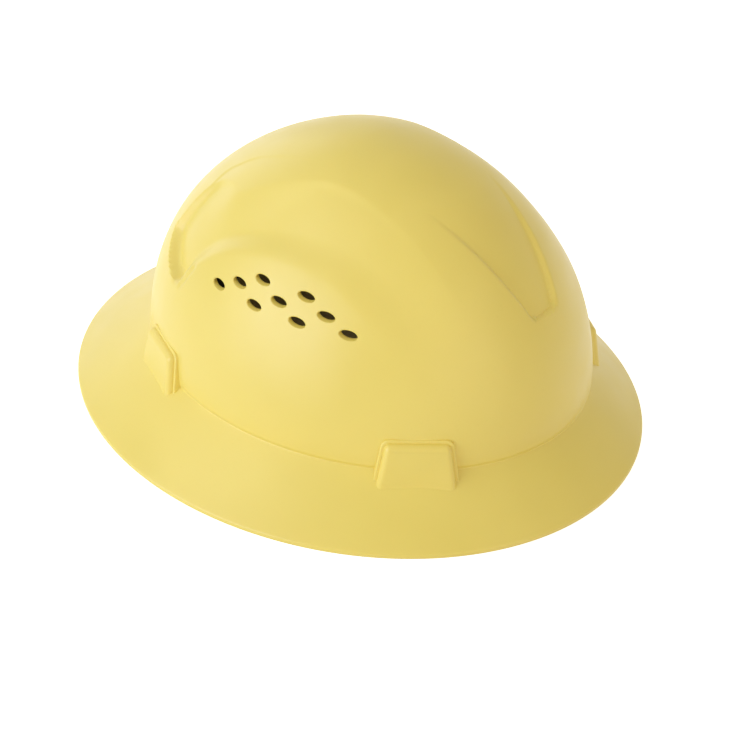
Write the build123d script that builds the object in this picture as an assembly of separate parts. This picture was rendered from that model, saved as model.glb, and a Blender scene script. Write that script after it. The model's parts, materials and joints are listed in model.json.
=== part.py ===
from build123d import *
import os
from math import atan2, cos, degrees, hypot, pi, radians, sin

# A full brim hard hat with a four-point ratchet suspension, in millimetres.
# The front faces -Y, the wearer's left is +X, and the brim's flat edge rests on z = 0.

# Brim
brim_length = 320.0
brim_width = 276.0
lip_height = 2.4
lip_width = 3.0
lip_round = 0.9
brim_wall_drop = 3.0

# Crown, measured on its outer face at the crease where it meets the brim
crown_height = 150.0
crease_height = 29.3
crown_half_width = 103.5
crown_front_length = 123.4
crown_rear_length = 124.0
crown_centre_y = 7.0
crown_wall = 2.4
crease_round = 1.5
side_profile_shares = (1.80, 1.97)
front_profile_shares = (2.23, 1.66)
rear_profile_shares = (1.84, 2.16)
section_angles = (0, 11, 22, 33, 44, 55, 65, 74, 82)

# Recessed scoop on each side and recessed panel at the rear. Their floors are the crown's own face,
# moved in from the side and the front, or from the rear, and a little up.
scoop_shift_x = 2.4
scoop_shift_y = 2.2
scoop_rise = 0.6
scoop_inner_x = 22.0
panel_shift_y = 2.0
panel_rise = 0.4

# Outlines as shares of the crown's front length and of its full height, seen from the side
scoop_front_shares = ((-0.36, 0.825), (-0.49, 0.800), (-0.577, 0.753), (-0.658, 0.667), (-0.707, 0.589))
scoop_corner_shares = ((-0.684, 0.549), (-0.621, 0.513), (-0.547, 0.497), (-0.496, 0.495))
scoop_arch_shares = (
    (-0.496, 0.495),
    (-0.267, 0.678),
    (-0.037, 0.732),
    (0.195, 0.728),
    (0.518, 0.590),
    (0.766, 0.457),
)
scoop_crest_shares = (
    (0.786, 0.589),
    (0.584, 0.777),
    (0.349, 0.887),
    (0.114, 0.933),
    (-0.105, 0.916),
    (-0.36, 0.825),
)
# Outline as shares of the crown's half width and of its full height, seen from the rear
panel_side_shares = ((0.264, 0.90), (0.214, 0.809), (0.172, 0.723), (0.114, 0.612))
panel_foot_shares = ((0.114, 0.612), (0.095, 0.594), (0.057, 0.589))

# Vents: rows of oval holes, each row a height with its distances from the vents' centre line
vent_length = 9.1
vent_height = 4.4
vent_tilt = 6.0
vent_centre_y = 15.6
vent_pitch_y = 12.6
vent_row_heights = (102.0, 96.5, 91.0)
vent_row_steps = ((-1, 1), (-2, 0, 2), (-3, -1, 1, 3))
vent_cut_depth = 9.0
normal_step = 0.5

# Key pockets, at a place across the crown, and their section outward from the crease
pocket_rear_x = 74.0
pocket_front_x = 88.3
pocket_top_z = 46.0
pocket_shoulder_z = 44.6
pocket_foot_z = 16.5
pocket_shoulder_out = 2.5
pocket_foot_out = 6.9
pocket_root_in = 9.0
pocket_top_width = 31.0
pocket_foot_width = 41.0
pocket_step = 1.5
pocket_step_round = 0.8
pocket_round = 2.2
pocket_wall = 1.8
pocket_side_wall = 2.4
pocket_recess = 0.9
pocket_room_top_z = 40.0
pocket_mouth_drop = 8.0

# Suspension keys
key_clearance = 0.3
key_tab_thickness = 2.4
key_tab_round = 3.0
key_foot_z = 21.7
key_lean = 7.0
key_top_z = 53.0
key_bar_height = 4.0
key_bridge_gap = 1.8
key_slot_height = 4.6
key_slot_side = 0.5
key_hook_width = 13.0
key_hook_height = 3.4

# Crown straps
strap_width = 19.0
strap_thickness = 1.3
strap_apex_z = 111.0
strap_stack = 1.65
strap_loop_inset = 0.3
strap_profile_shares = (2.3, 2.05)
strap_section_angles = (0, 9, 20, 32, 45, 58, 70, 81)

# Headband
head_centre_y = 18.0
band_radius = 84.0
band_front_length = 108.0
band_thickness = 1.6
band_foot_z = 28.0
band_height = 28.0
band_end_angle = 57.0
band_round = 8.0
band_hook_z = 42.0
band_hook_pitch = 7.0
band_hook_steps = (-1, 0, 1)

# Brow pad, folded over both edges of the headband
pad_inner_thickness = 3.2
pad_outer_thickness = 1.2
pad_edge = 1.4
pad_rear_y = -55.0
pad_gap = 0.3

# Nape straps with toothed slots
arm_gap = 0.35
arm_thickness = 1.4
arm_height = 18.0
arm_neck_height = 13.0
arm_tab_radius = 8.5
arm_level_z = 20.0
arm_stud_z = 38.0
arm_level_angle = 47.0
arm_tip_angle = 117.0
arm_front_angle = 8.0
arm_tip_round = 5.0
slot_end_angle = 113.5

# Toothed slots and pinion
gear_module = 1.0
pinion_teeth = 9
rack_gaps = 11
tooth_addendum = 0.8
tooth_dedendum = 1.1
tooth_backlash = 0.35
slot_clearance = 0.4
tooth_slope_share = 0.36
tooth_tip_share = 0.5
tooth_root_share = 1.35

# Studs of the nape straps
stud_radius = 3.0
stud_head_radius = 5.6
stud_head = 1.2
stud_head_lift = 0.3

# Ratchet housing, cover and their screws
housing_width = 64.0
housing_height = 33.0
housing_round = 14.0
channel_gap = 0.35
cover_plate = 2.2
cover_gap = 0.1
case_screw_x = 18.0
case_screw_rise = 12.5
case_screw_radius = 1.1
case_screw_length = 5.5
case_head_radius = 2.1
case_head = 1.1
case_screw_gap = 0.1

# Shaft through the cover and its clicking ring
shaft_radius = 4.0
journal_radius = 2.6
running_clearance = 0.05
gear_side_gap = 0.2
click_ring_radius = 13.5
click_bore_radius = 12.3
click_tooth_height = 0.9
click_teeth = 24
click_ring_height = 3.8
spring_thickness = 1.6
spring_gap = 0.4
spring_hub_radius = 6.2
spring_finger_radius = 9.2
spring_finger_width = 1.2
spring_finger_angle = 70.0
spring_fingers = 3
spring_nib_gap = 0.15
nib_turn_steps = 2

# Dial, grip and screw
dial_radius = 15.6
dial_wall = 1.7
dial_face = 2.4
dial_gap = 0.5
dial_depth = 10.5
dial_round = 1.2
grip_thickness = 1.3
grip_depth = 7.0
grip_set_back = 1.8
grip_gap = 0.05
grip_lobes = 16
grip_lobe_radius = 1.6
hex_across = 6.2
hex_gap = 0.08
hub_radius = 5.8
screw_radius = 1.4
screw_length = 7.0
screw_head_radius = 3.2
screw_head = 1.4
screw_gap = 0.1

# Nape pad
nape_pad_thickness = 3.6
nape_pad_width = 58.0
nape_pad_height = 29.0
nape_pad_round = 13.0

# One overrun for every cut, one slack for finding edges by their place, and plain counts and angles
overrun = 2.0
edge_slack = 0.5
right_angle = 90
bisections = 40
small_share = 0.001

crown_rise = crown_height - crease_height
gear_pitch_radius = gear_module * pinion_teeth / 2
gear_outer_radius = gear_pitch_radius + tooth_addendum
gear_root_radius = gear_pitch_radius - tooth_dedendum
band_outer_radius = band_radius + band_thickness
left_arm_radius = band_outer_radius + arm_gap
right_arm_radius = left_arm_radius + arm_thickness + arm_gap
cover_radius = right_arm_radius + arm_thickness + arm_gap
cover_face_y = head_centre_y + cover_radius + cover_plate
spring_y = cover_face_y + spring_gap
dial_foot_y = cover_face_y + dial_gap
dial_top_y = dial_foot_y + dial_depth
dial_inner_y = dial_top_y - dial_face
hub_foot_y = spring_y + spring_thickness + spring_gap
hex_top_y = dial_inner_y - hex_gap
key_bridge_z = crease_height - brim_wall_drop - key_bridge_gap
key_bar_foot_z = key_top_z - key_bar_height
key_half_width = pocket_top_width / 2 - pocket_side_wall - key_clearance
head_axis = Axis((0, head_centre_y, 0), (0, 0, 1))


def profile(share, shares):
    """How wide the crown still is at a share of its rise."""
    rise_power, width_power = shares
    return max(0.0, 1 - share**rise_power) ** (1 / width_power)


def crown_sizes(z, inset=0.0):
    """Half width, front length and rear length of the crown at a height."""
    share = max(0.0, (z - crease_height) / (crown_rise - inset))
    return (
        (crown_half_width - inset) * profile(share, side_profile_shares),
        (crown_front_length - inset) * profile(share, front_profile_shares),
        (crown_rear_length - inset) * profile(share, rear_profile_shares),
    )


def egg_face(half_width, front, rear, centre_y, z):
    """A flat face of two half ellipses that share their width."""
    middle = (0, centre_y, z)
    rear_arc = EllipticalCenterArc(middle, half_width, rear, start_angle=0, arc_size=180)
    front_arc = EllipticalCenterArc(middle, half_width, front, start_angle=180, arc_size=180)
    return Face(Wire([rear_arc, front_arc]))


def dome(inset=0.0):
    """The crown from the crease up, made smaller all round by an inset."""
    sections = []
    for angle in section_angles:
        z = crease_height + (crown_rise - inset) * sin(radians(angle))
        width, front, rear = crown_sizes(z, inset)
        sections.append(egg_face(width, front, rear, crown_centre_y, z))
    return loft(sections + [Vertex(0, crown_centre_y, crown_height - inset)])


def brim_edge_face(inset, z):
    half_length = brim_length / 2 - inset
    return egg_face(brim_width / 2 - inset, half_length, half_length, 0, z)


def brim_cone(drop=0.0, inset=0.0):
    """The brim's slope from its edge up to the crown, lowered by a drop."""
    width, front, rear = crown_sizes(crease_height)
    crown_foot = egg_face(width - inset, front - inset, rear - inset, crown_centre_y, crease_height - drop)
    return loft([brim_edge_face(inset, lip_height - drop), crown_foot], ruled=True)


def crown_x(y, z):
    """Distance of the crown's outer face from the middle plane."""
    width, front, rear = crown_sizes(z)
    reach = rear if y > crown_centre_y else front
    return width * max(0.0, 1 - ((y - crown_centre_y) / reach) ** 2) ** 0.5


def crown_plane(y, z):
    """A plane on the crown's left face, its normal outward and its X level, to the rear."""
    slope_y = (crown_x(y + normal_step, z) - crown_x(y - normal_step, z)) / (2 * normal_step)
    slope_z = (crown_x(y, z + normal_step) - crown_x(y, z - normal_step)) / (2 * normal_step)
    return Plane(origin=(crown_x(y, z), y, z), x_dir=(slope_y, 1, 0), z_dir=(1, -slope_y, -slope_z))


def both_sides(solid):
    return [solid, solid.mirror(Plane.YZ)]


def side_points(shares):
    return [(0, y * crown_front_length + crown_centre_y, z * crown_height) for y, z in shares]


def rear_points(shares, side=1):
    return [(side * x * crown_half_width, 0, z * crown_height) for x, z in shares]


def scoop_cutter(inset=0.0):
    """The scoop's outline seen from the side, outside the floor's dome."""
    outline = Wire(
        [
            Spline(side_points(scoop_front_shares)),
            Spline(side_points(scoop_front_shares[-1:] + scoop_corner_shares)),
            Spline(side_points(scoop_arch_shares)),
            Line(side_points(scoop_arch_shares[-1:] + scoop_crest_shares[:1])),
            Spline(side_points(scoop_crest_shares)),
        ]
    )
    prism = extrude(Face(outline), amount=crown_half_width + overrun, dir=(1, 0, 0))
    prism -= Pos(scoop_inner_x / 2, 0, crown_height / 2) * Box(scoop_inner_x, brim_length, brim_length)
    floor = Pos(-scoop_shift_x, scoop_shift_y, scoop_rise) * dome(inset)
    return prism - floor


def panel_cutter(inset=0.0):
    """The rear panel's outline seen from behind, outside the floor's dome."""
    left, right = rear_points(panel_side_shares), rear_points(panel_side_shares, -1)
    left_foot, right_foot = rear_points(panel_foot_shares), rear_points(panel_foot_shares, -1)
    outline = Wire(
        [
            Line(right[0], left[0]),
            Spline(left),
            Spline(left_foot),
            Line(left_foot[-1], right_foot[-1]),
            Spline(right_foot[::-1]),
            Spline(right[::-1]),
        ]
    )
    prism = extrude(Face(outline), amount=brim_length / 2, dir=(0, 1, 0))
    prism -= Box(brim_width, 2 * crown_centre_y, 2 * brim_length)
    floor = Pos(0, -panel_shift_y, panel_rise) * dome(inset)
    return prism - floor


def recess(solid, inset=0.0):
    """A dome with both scoops and the rear panel taken off."""
    for cutter in both_sides(scoop_cutter(inset)) + [panel_cutter(inset)]:
        solid -= cutter
    return solid


def crown_foot_point(x, rear):
    """The place and outward direction on the crease, for a distance from the middle plane."""
    length = crown_rear_length if rear else crown_front_length
    reach = length * (1 - (x / crown_half_width) ** 2) ** 0.5
    way = 1 if rear else -1
    normal = Vector(x / crown_half_width**2, way * reach / length**2, 0).normalized()
    return Vector(x, crown_centre_y + way * reach, 0), normal


def pocket_plane(x, rear):
    """A vertical plane through the crease: its X is outward, its Y is up and its Z is along the wall."""
    place, outward = crown_foot_point(x, rear)
    return Plane(origin=place, x_dir=outward, z_dir=outward.cross(Vector(0, 0, 1)))


def pocket_block(plane, widen=0.0):
    """A tapered block with a sloping top, wider at its foot."""
    top = pocket_top_z + widen
    section = Polyline(
        (-pocket_root_in, pocket_foot_z),
        (-pocket_root_in, top),
        (pocket_shoulder_out - widen, pocket_shoulder_z + widen),
        (pocket_foot_out - widen, pocket_foot_z),
        close=True,
    )
    slab = extrude(plane * make_face(section), amount=pocket_foot_width, both=True)
    half_top, half_foot = pocket_top_width / 2 + widen, pocket_foot_width / 2 + widen
    front = Polyline(
        (-half_foot, pocket_foot_z),
        (-half_top, top),
        (half_top, top),
        (half_foot, pocket_foot_z),
        close=True,
    )
    facing = Plane(origin=plane.origin, x_dir=plane.z_dir, z_dir=-plane.x_dir)
    trapezoid = extrude(facing * make_face(front), amount=pocket_foot_width, both=True)
    return slab & trapezoid


def rounded_block(plane, radius, widen=0.0):
    """The tapered block with its outer edges rounded."""
    block = pocket_block(plane, widen)
    rim = [
        edge
        for edge in block.edges()
        if edge.center().Z > pocket_foot_z + edge_slack
        and (edge.center() - plane.origin).dot(plane.x_dir) > -pocket_root_in / 2
    ]
    return fillet(rim, radius)


def pocket_hollow(plane, gap=0.0):
    """The room for a key's blade behind the block's face, open below."""
    lean = (pocket_foot_out - pocket_shoulder_out) / (pocket_shoulder_z - pocket_foot_z)
    top = pocket_room_top_z - gap
    foot = pocket_foot_z - pocket_mouth_drop if gap == 0 else key_foot_z
    outer_top = pocket_shoulder_out + lean * (pocket_shoulder_z - top) - pocket_wall - gap
    section = Polyline(
        (gap - pocket_recess, foot),
        (gap - pocket_recess, top),
        (outer_top, top),
        (outer_top + lean * (top - foot), foot),
        close=True,
    )
    half = pocket_top_width / 2 - pocket_side_wall - gap
    return extrude(plane * make_face(section), amount=half, both=True)


def pocket_planes():
    """The planes of the left side's two pockets."""
    return pocket_plane(pocket_rear_x, True), pocket_plane(pocket_front_x, False)


def mirrored_plane(plane):
    """A pocket's plane carried over to the right side."""
    return Plane(
        origin=(-plane.origin.X, plane.origin.Y, plane.origin.Z),
        x_dir=(-plane.x_dir.X, plane.x_dir.Y, plane.x_dir.Z),
        z_dir=(plane.z_dir.X, -plane.z_dir.Y, plane.z_dir.Z),
    )


def shell():
    """One moulding: crown, brim, key pockets, scoops, rear panel and vents."""
    lip = extrude(brim_edge_face(0, 0), amount=lip_height)
    outer = lip + brim_cone()
    outer = outer + dome()
    crease = [
        edge
        for edge in outer.edges()
        if abs(edge.center().Z - crease_height) < edge_slack
        and abs(edge.bounding_box().size.Z) < edge_slack
    ]
    outer = fillet(crease, crease_round)
    edge_ring = [edge for edge in outer.edges() if edge.bounding_box().max.Z < lip_height + edge_slack]
    outer = fillet(edge_ring, lip_round)
    outer = recess(outer)
    for plane in pocket_planes():
        block = rounded_block(plane, pocket_round) + rounded_block(plane, pocket_step_round, pocket_step)
        for copy in both_sides(block):
            outer += copy
    room = brim_cone(brim_wall_drop) & extrude(brim_edge_face(lip_width, -overrun), amount=crown_height)
    inner_width, inner_front, inner_rear = (size - crown_wall for size in crown_sizes(crease_height))
    throat_foot = crease_height - brim_wall_drop - overrun
    throat = extrude(
        egg_face(inner_width, inner_front, inner_rear, crown_centre_y, throat_foot),
        amount=brim_wall_drop + overrun,
    )
    outer -= room
    outer -= throat
    outer -= recess(dome(crown_wall), crown_wall)
    for plane in pocket_planes():
        for hollow in both_sides(pocket_hollow(plane)):
            outer -= hollow
    for z, steps in zip(vent_row_heights, vent_row_steps):
        for step in steps:
            place = crown_plane(vent_centre_y + step * vent_pitch_y, z)
            oval_face = Rot(0, 0, -vent_tilt) * Ellipse(vent_length / 2, vent_height / 2)
            hole = extrude(place * oval_face, amount=vent_cut_depth, both=True)
            for copy in both_sides(hole):
                outer -= copy
    return outer


def key_face(z):
    """How far in from the crease a key's tab stands at a height, on its outer side."""
    foot = crown_wall + 2 * key_clearance
    rise = (z - key_bridge_z) / (key_top_z - key_bridge_z)
    return -foot - key_lean * rise


def band_side(point, size=band_radius):
    """Below one inside the headband's oval of a given half width, above one outside."""
    length = size if point.Y > head_centre_y else band_front_length - band_radius + size
    return hypot(point.X / size, (point.Y - head_centre_y) / length)


def band_reach(plane):
    """Distance inward from the crease to just inside the headband's wall."""
    near, far = 0.0, band_radius
    for _ in range(bisections):
        middle = (near + far) / 2
        if band_side(plane.origin - plane.x_dir * middle, band_radius + key_clearance) > 1:
            near = middle
        else:
            far = middle
    return near


def key_hook(plane, gap=0.0, rise=0.0):
    """The bar from a key's tab through the headband's slot."""
    start = key_face(band_hook_z)
    end = -band_reach(plane) - (overrun if gap else 0)
    half_height = key_hook_height / 2 + gap
    bar = Polyline(
        (start, band_hook_z + rise - half_height),
        (start, band_hook_z + rise + half_height),
        (end, band_hook_z + rise + half_height),
        (end, band_hook_z + rise - half_height),
        close=True,
    )
    return extrude(plane * make_face(bar), amount=key_hook_width / 2 + gap, both=True)


def key(plane):
    """Blade, bridge, leaning tab with a webbing slot, and the hook for the headband."""
    root = key_clearance - pocket_recess
    foot_in = key_face(key_bridge_z) - key_tab_thickness
    section = Polyline(
        (root, key_foot_z),
        (root, key_bridge_z),
        (key_face(key_bridge_z), key_bridge_z),
        (key_face(key_top_z), key_top_z),
        (key_face(key_top_z) - key_tab_thickness, key_top_z),
        (foot_in, key_foot_z + key_tab_thickness),
        (foot_in + key_tab_thickness, key_foot_z),
        close=True,
    )
    tab = extrude(plane * make_face(section), amount=key_half_width, both=True)
    corners = [
        edge
        for edge in tab.edges()
        if edge.center().Z > key_top_z - edge_slack and edge.length < 2 * key_tab_thickness
    ]
    tab = fillet(corners, key_tab_round)
    slot_half = strap_width / 2 + key_slot_side
    slot = Polyline(
        (0, key_bar_foot_z),
        (0, key_bar_foot_z - key_slot_height),
        (-band_radius, key_bar_foot_z - key_slot_height),
        (-band_radius, key_bar_foot_z),
        close=True,
    )
    tab -= extrude(plane * make_face(slot), amount=slot_half, both=True)
    return tab + pocket_hollow(plane, key_clearance) + key_hook(plane)


def strap_loop(plane):
    """The sewn loop round a key's top bar."""
    outer_side = key_face(key_bar_foot_z) + key_clearance
    inner_side = key_face(key_top_z) - key_tab_thickness - key_clearance
    low, high = key_bar_foot_z - key_clearance, key_top_z + key_clearance
    middle = ((outer_side + inner_side) / 2, (low + high) / 2)
    width, height = outer_side - inner_side, high - low
    skin = RectangleRounded(
        width + 2 * strap_thickness, height + 2 * strap_thickness, strap_thickness + key_clearance
    )
    loop = Pos(*middle) * (skin - RectangleRounded(width, height, key_clearance))
    half_width = strap_width / 2 - strap_loop_inset
    return extrude(plane * loop, amount=half_width, both=True), inner_side - strap_thickness


def crown_strap(start_plane, end_plane, lift):
    """Webbing from one key, over the head, to the key across."""
    first_loop, start_in = strap_loop(start_plane)
    last_loop, end_in = strap_loop(end_plane)
    foot_z = (key_bar_foot_z + key_top_z) / 2
    start = start_plane.origin + start_plane.x_dir * start_in
    end = end_plane.origin + end_plane.x_dir * end_in
    middle = start + (end - start) * (start.X / (start.X - end.X))
    across = (end - start).cross(Vector(0, 0, 1)).normalized()
    climb = strap_apex_z + lift - foot_z
    out_power, up_power = strap_profile_shares
    sections = []
    halves = ((start, start_plane, strap_section_angles), (end, end_plane, strap_section_angles[::-1]))
    for foot, plane, angles in halves:
        way = 1 if foot is start else -1
        sideways = plane.z_dir if plane.z_dir.dot(across) > 0 else -plane.z_dir
        for angle in angles:
            out, up = cos(radians(angle)), sin(radians(angle))
            share = out ** (2 / out_power)
            place = middle + (foot - middle) * share
            height = foot_z + climb * up ** (2 / up_power)
            along = (middle - foot).normalized()
            reach = (foot - middle).length
            slope_out = reach * up * max(out, small_share) ** (2 / out_power - 1) / out_power
            slope_up = climb * out * max(up, small_share) ** (2 / up_power - 1) / up_power
            tangent = (along * slope_out + Vector(0, 0, 1) * slope_up) * way
            width_way = sideways * share + across * (1 - share)
            frame = Plane(origin=(place.X, place.Y, height), x_dir=width_way, z_dir=tangent)
            sections.append(frame * Rectangle(strap_width, strap_thickness))
        if foot is start:
            top = Plane(
                origin=(middle.X, middle.Y, strap_apex_z + lift), x_dir=across, z_dir=end - start
            )
            sections.append(top * Rectangle(strap_width, strap_thickness))
    return loft(sections) + first_loop + last_loop


def band_ring(inner, outer, foot_z, height):
    """A wall that follows the headband, between two offsets from its inner face."""
    faces = [
        egg_face(
            band_radius + size,
            band_front_length + size,
            band_radius + size,
            head_centre_y,
            foot_z,
        )
        for size in (inner, outer)
    ]
    return extrude(faces[1], amount=height) - extrude(faces[0], amount=height)


def ring_sector(inner, outer, foot_z, top_z, start_angle, end_angle):
    """A curved wall about the head's upright axis."""
    centre = (0, head_centre_y)
    sweep = end_angle - start_angle
    outer_arc = CenterArc(centre, outer, start_angle, sweep)
    inner_arc = CenterArc(centre, inner, start_angle, sweep)
    ends = [Line(outer_arc @ 0, inner_arc @ 0), Line(outer_arc @ 1, inner_arc @ 1)]
    sector = make_face([outer_arc, inner_arc] + ends)
    return extrude(Pos(0, 0, foot_z) * sector, amount=top_z - foot_z)


def side_stud_hole():
    reach = 2 * cover_radius
    return Pos(0, head_centre_y, arm_stud_z) * Rot(0, right_angle, 0) * Cylinder(
        stud_radius + running_clearance, reach + 2 * overrun
    )


def headband():
    """Moulded band, open at the nape, with height slots for the four keys."""
    band = band_ring(0, band_thickness, band_foot_z, band_height)
    far = 2 * band_radius
    side, back = far * cos(radians(band_end_angle)), far * sin(radians(band_end_angle))
    gap = Polyline(
        (0, head_centre_y),
        (side, head_centre_y + back),
        (-side, head_centre_y + back),
        close=True,
    )
    band -= extrude(Pos(0, 0, band_foot_z - overrun) * make_face(gap), amount=band_height + 2 * overrun)
    ends = [
        edge
        for edge in band.edges()
        if edge.length < 2 * band_thickness and edge.center().Y > head_centre_y + band_radius / 2
    ]
    band = fillet(ends, band_round)
    for plane in pocket_planes():
        for step in band_hook_steps:
            for slot in both_sides(key_hook(plane, key_clearance, step * band_hook_pitch)):
                band -= slot
    return band - side_stud_hole()


def brow_pad():
    """Sweatband in front, folded over both edges of the headband."""
    foot_z = band_foot_z - pad_gap - pad_edge
    height = band_height + 2 * (pad_gap + pad_edge)
    outer = band_thickness + pad_gap + pad_outer_thickness
    pad = band_ring(-pad_gap - pad_inner_thickness, outer, foot_z, height)
    pad -= band_ring(-pad_gap, band_thickness + pad_gap, band_foot_z - pad_gap, band_height + 2 * pad_gap)
    rear = brim_length - (pad_rear_y + brim_length / 2)
    pad -= Pos(0, pad_rear_y + rear / 2, 0) * Box(brim_width, rear, 2 * crown_height)
    return pad


def rack_gap(radius, up):
    """One gap between two teeth of a slot, over or under the pinion."""
    half = pi * gear_module / 4 + tooth_backlash / 2
    mouth = gear_pitch_radius - tooth_addendum - tooth_backlash
    floor = gear_pitch_radius + tooth_dedendum
    mouth_half = half + tooth_slope_share * (gear_pitch_radius - mouth)
    floor_half = half - tooth_slope_share * tooth_dedendum
    outline = Polyline(
        (-mouth_half, up * mouth),
        (mouth_half, up * mouth),
        (floor_half, up * floor),
        (-floor_half, up * floor),
        close=True,
    )
    plane = Plane(
        origin=(0, head_centre_y + radius + arm_thickness + overrun, arm_level_z),
        x_dir=(1, 0, 0),
        z_dir=(0, -1, 0),
    )
    return extrude(plane * make_face(outline), amount=arm_thickness + 2 * overrun)


def arm(radius, up):
    """Nape strap: a round tab at its stud, a neck, and a level end with a toothed slot."""
    outer = radius + arm_thickness
    wall = ring_sector(radius, outer, 0, arm_stud_z + 2 * arm_tab_radius, -arm_front_angle, arm_tip_angle)
    level_y = head_centre_y + band_radius * sin(radians(arm_level_angle))
    neck, level = arm_neck_height / 2, arm_height / 2
    outline = Polyline(
        (head_centre_y, arm_stud_z - neck),
        (level_y, arm_level_z - level),
        (brim_length / 2, arm_level_z - level),
        (brim_length / 2, arm_level_z + level),
        (level_y, arm_level_z + level),
        (head_centre_y, arm_stud_z + neck),
        close=True,
    )
    side = make_face(outline) + Pos(head_centre_y, arm_stud_z) * Circle(arm_tab_radius)
    strap = wall & extrude(Plane.YZ * side, amount=brim_width, both=True)
    corners = [
        edge
        for edge in strap.edges()
        if edge.center().X < 0 and edge.length < 2 * arm_thickness and abs(edge.tangent_at(0).Z) < small_share
    ]
    strap = fillet(corners, arm_tip_round)
    low = arm_level_z - gear_outer_radius - slot_clearance
    high = arm_level_z + gear_pitch_radius - tooth_addendum
    if up < 0:
        low, high = 2 * arm_level_z - high, 2 * arm_level_z - low
    start = 2 * right_angle - slot_end_angle
    strap -= ring_sector(radius - overrun, outer + overrun, low, high, start, slot_end_angle)
    tooth_angle = degrees(pi * gear_module / (radius + arm_thickness / 2))
    shift = 0 if up > 0 else 1 / 2
    first_gap = rack_gap(radius, up)
    gaps = [
        first_gap.rotate(head_axis, (step + shift) * tooth_angle)
        for step in range(-rack_gaps, rack_gaps + (1 if up > 0 else 0))
    ]
    strap -= gaps
    return strap - side_stud_hole()


def left_arm():
    return arm(left_arm_radius, 1)


def right_arm():
    return arm(right_arm_radius, -1).mirror(Plane.YZ)


def arm_stud(arm_radius):
    """Snap stud through the headband and a nape strap, with a head at each end."""
    inner = band_radius - pad_gap - stud_head_lift
    outer = arm_radius + arm_thickness + pad_gap
    length = outer + stud_head - inner + stud_head
    start = inner - stud_head
    turn = Pos(start, head_centre_y, arm_stud_z) * Rot(0, right_angle, 0)
    shaft = turn * Pos(0, 0, length / 2) * Cylinder(stud_radius, length)
    heads = [
        turn * Pos(0, 0, place) * Cylinder(stud_head_radius, stud_head)
        for place in (stud_head / 2, length - stud_head / 2)
    ]
    return shaft + heads


def oval(width, height, corner, start_y, end_y):
    """A rounded oblong bar along Y at the adjuster's level."""
    plane = Plane(origin=(0, end_y, arm_level_z), x_dir=(1, 0, 0), z_dir=(0, -1, 0))
    return extrude(plane * RectangleRounded(width, height, corner), amount=end_y - start_y)


def disc(radius, start_y, end_y, x=0.0, rise=0.0):
    """A round bar along Y."""
    middle = Pos(x, (start_y + end_y) / 2, arm_level_z + rise)
    return middle * Rot(right_angle, 0, 0) * Cylinder(radius, end_y - start_y)


def curved_wall(inner, outer, width, height, corner):
    """An oblong plate that curves about the head."""
    near, far = head_centre_y + band_radius / 2, brim_length
    top_z = 2 * arm_level_z + overrun
    wall = ring_sector(inner, outer, -overrun, top_z, right_angle / 2, right_angle * 3 / 2)
    return wall & oval(width, height, corner, near, far)


def case_screw_places():
    return [(side * case_screw_x, rise * case_screw_rise) for side in (-1, 1) for rise in (-1, 1)]


def case_seat_y():
    """Where the case screws' heads sit in the cover's wall."""
    return head_centre_y + ((cover_radius + cover_plate / 2) ** 2 - case_screw_x**2) ** 0.5


def ratchet_housing():
    """Inner case with the channel for both nape straps."""
    case = curved_wall(band_radius, cover_radius, housing_width, housing_height, housing_round)
    half = arm_height / 2 + channel_gap
    case -= ring_sector(
        band_outer_radius,
        cover_radius + overrun,
        arm_level_z - half,
        arm_level_z + half,
        right_angle / 2,
        right_angle * 3 / 2,
    )
    case -= disc(journal_radius + running_clearance, 0, head_centre_y + cover_radius)
    foot_y = case_seat_y() - case_screw_length - case_screw_gap
    for x, rise in case_screw_places():
        case -= disc(case_screw_radius + case_screw_gap, foot_y, cover_face_y, x, rise)
    return case


def star(outer, inner, points):
    """A ring of pointed teeth."""
    corners = []
    for step in range(2 * points):
        radius = outer if step % 2 == 0 else inner
        angle = pi * step / points
        corners.append((radius * cos(angle), radius * sin(angle)))
    return make_face(Polyline(*corners, close=True))


def dial_plane(y):
    """A plane square to the adjuster's axis, facing away from the head."""
    return Plane(origin=(0, y, arm_level_z), x_dir=(-1, 0, 0), z_dir=(0, 1, 0))


def ratchet_cover():
    """Outer case with a ring of clicking teeth round the shaft's hole."""
    case = curved_wall(
        cover_radius + cover_gap, cover_radius + cover_plate, housing_width, housing_height, housing_round
    )
    ring_foot = head_centre_y + cover_radius - overrun
    ring = disc(click_ring_radius, ring_foot, cover_face_y + click_ring_height)
    inside = Pos(0, head_centre_y, 0) * Cylinder(cover_radius + cover_gap, 2 * crown_height)
    case = case + (ring - inside)
    teeth = star(click_bore_radius, click_bore_radius - click_tooth_height, click_teeth)
    case -= extrude(dial_plane(cover_face_y) * teeth, amount=click_ring_height + overrun)
    case -= disc(shaft_radius + running_clearance, 0, cover_face_y + overrun)
    for x, rise in case_screw_places():
        case -= disc(case_screw_radius + case_screw_gap, head_centre_y, cover_face_y, x, rise)
        case -= disc(case_head_radius + case_screw_gap, case_seat_y(), cover_face_y, x, rise)
    return case


def housing_screws():
    """Four screws that hold the cover on the housing."""
    seat = case_seat_y()
    screws = []
    for x, rise in case_screw_places():
        head = disc(case_head_radius, seat, seat + case_head, x, rise)
        slot = Pos(x, seat + case_head, arm_level_z + rise) * Box(
            2 * case_head_radius, case_head, case_screw_radius / 2
        )
        screws.append(head + disc(case_screw_radius, seat - case_screw_length, seat, x, rise) - slot)
    return Compound(screws)


def hexagon(across):
    return RegularPolygon(across / 2, 6, major_radius=False)


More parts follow.
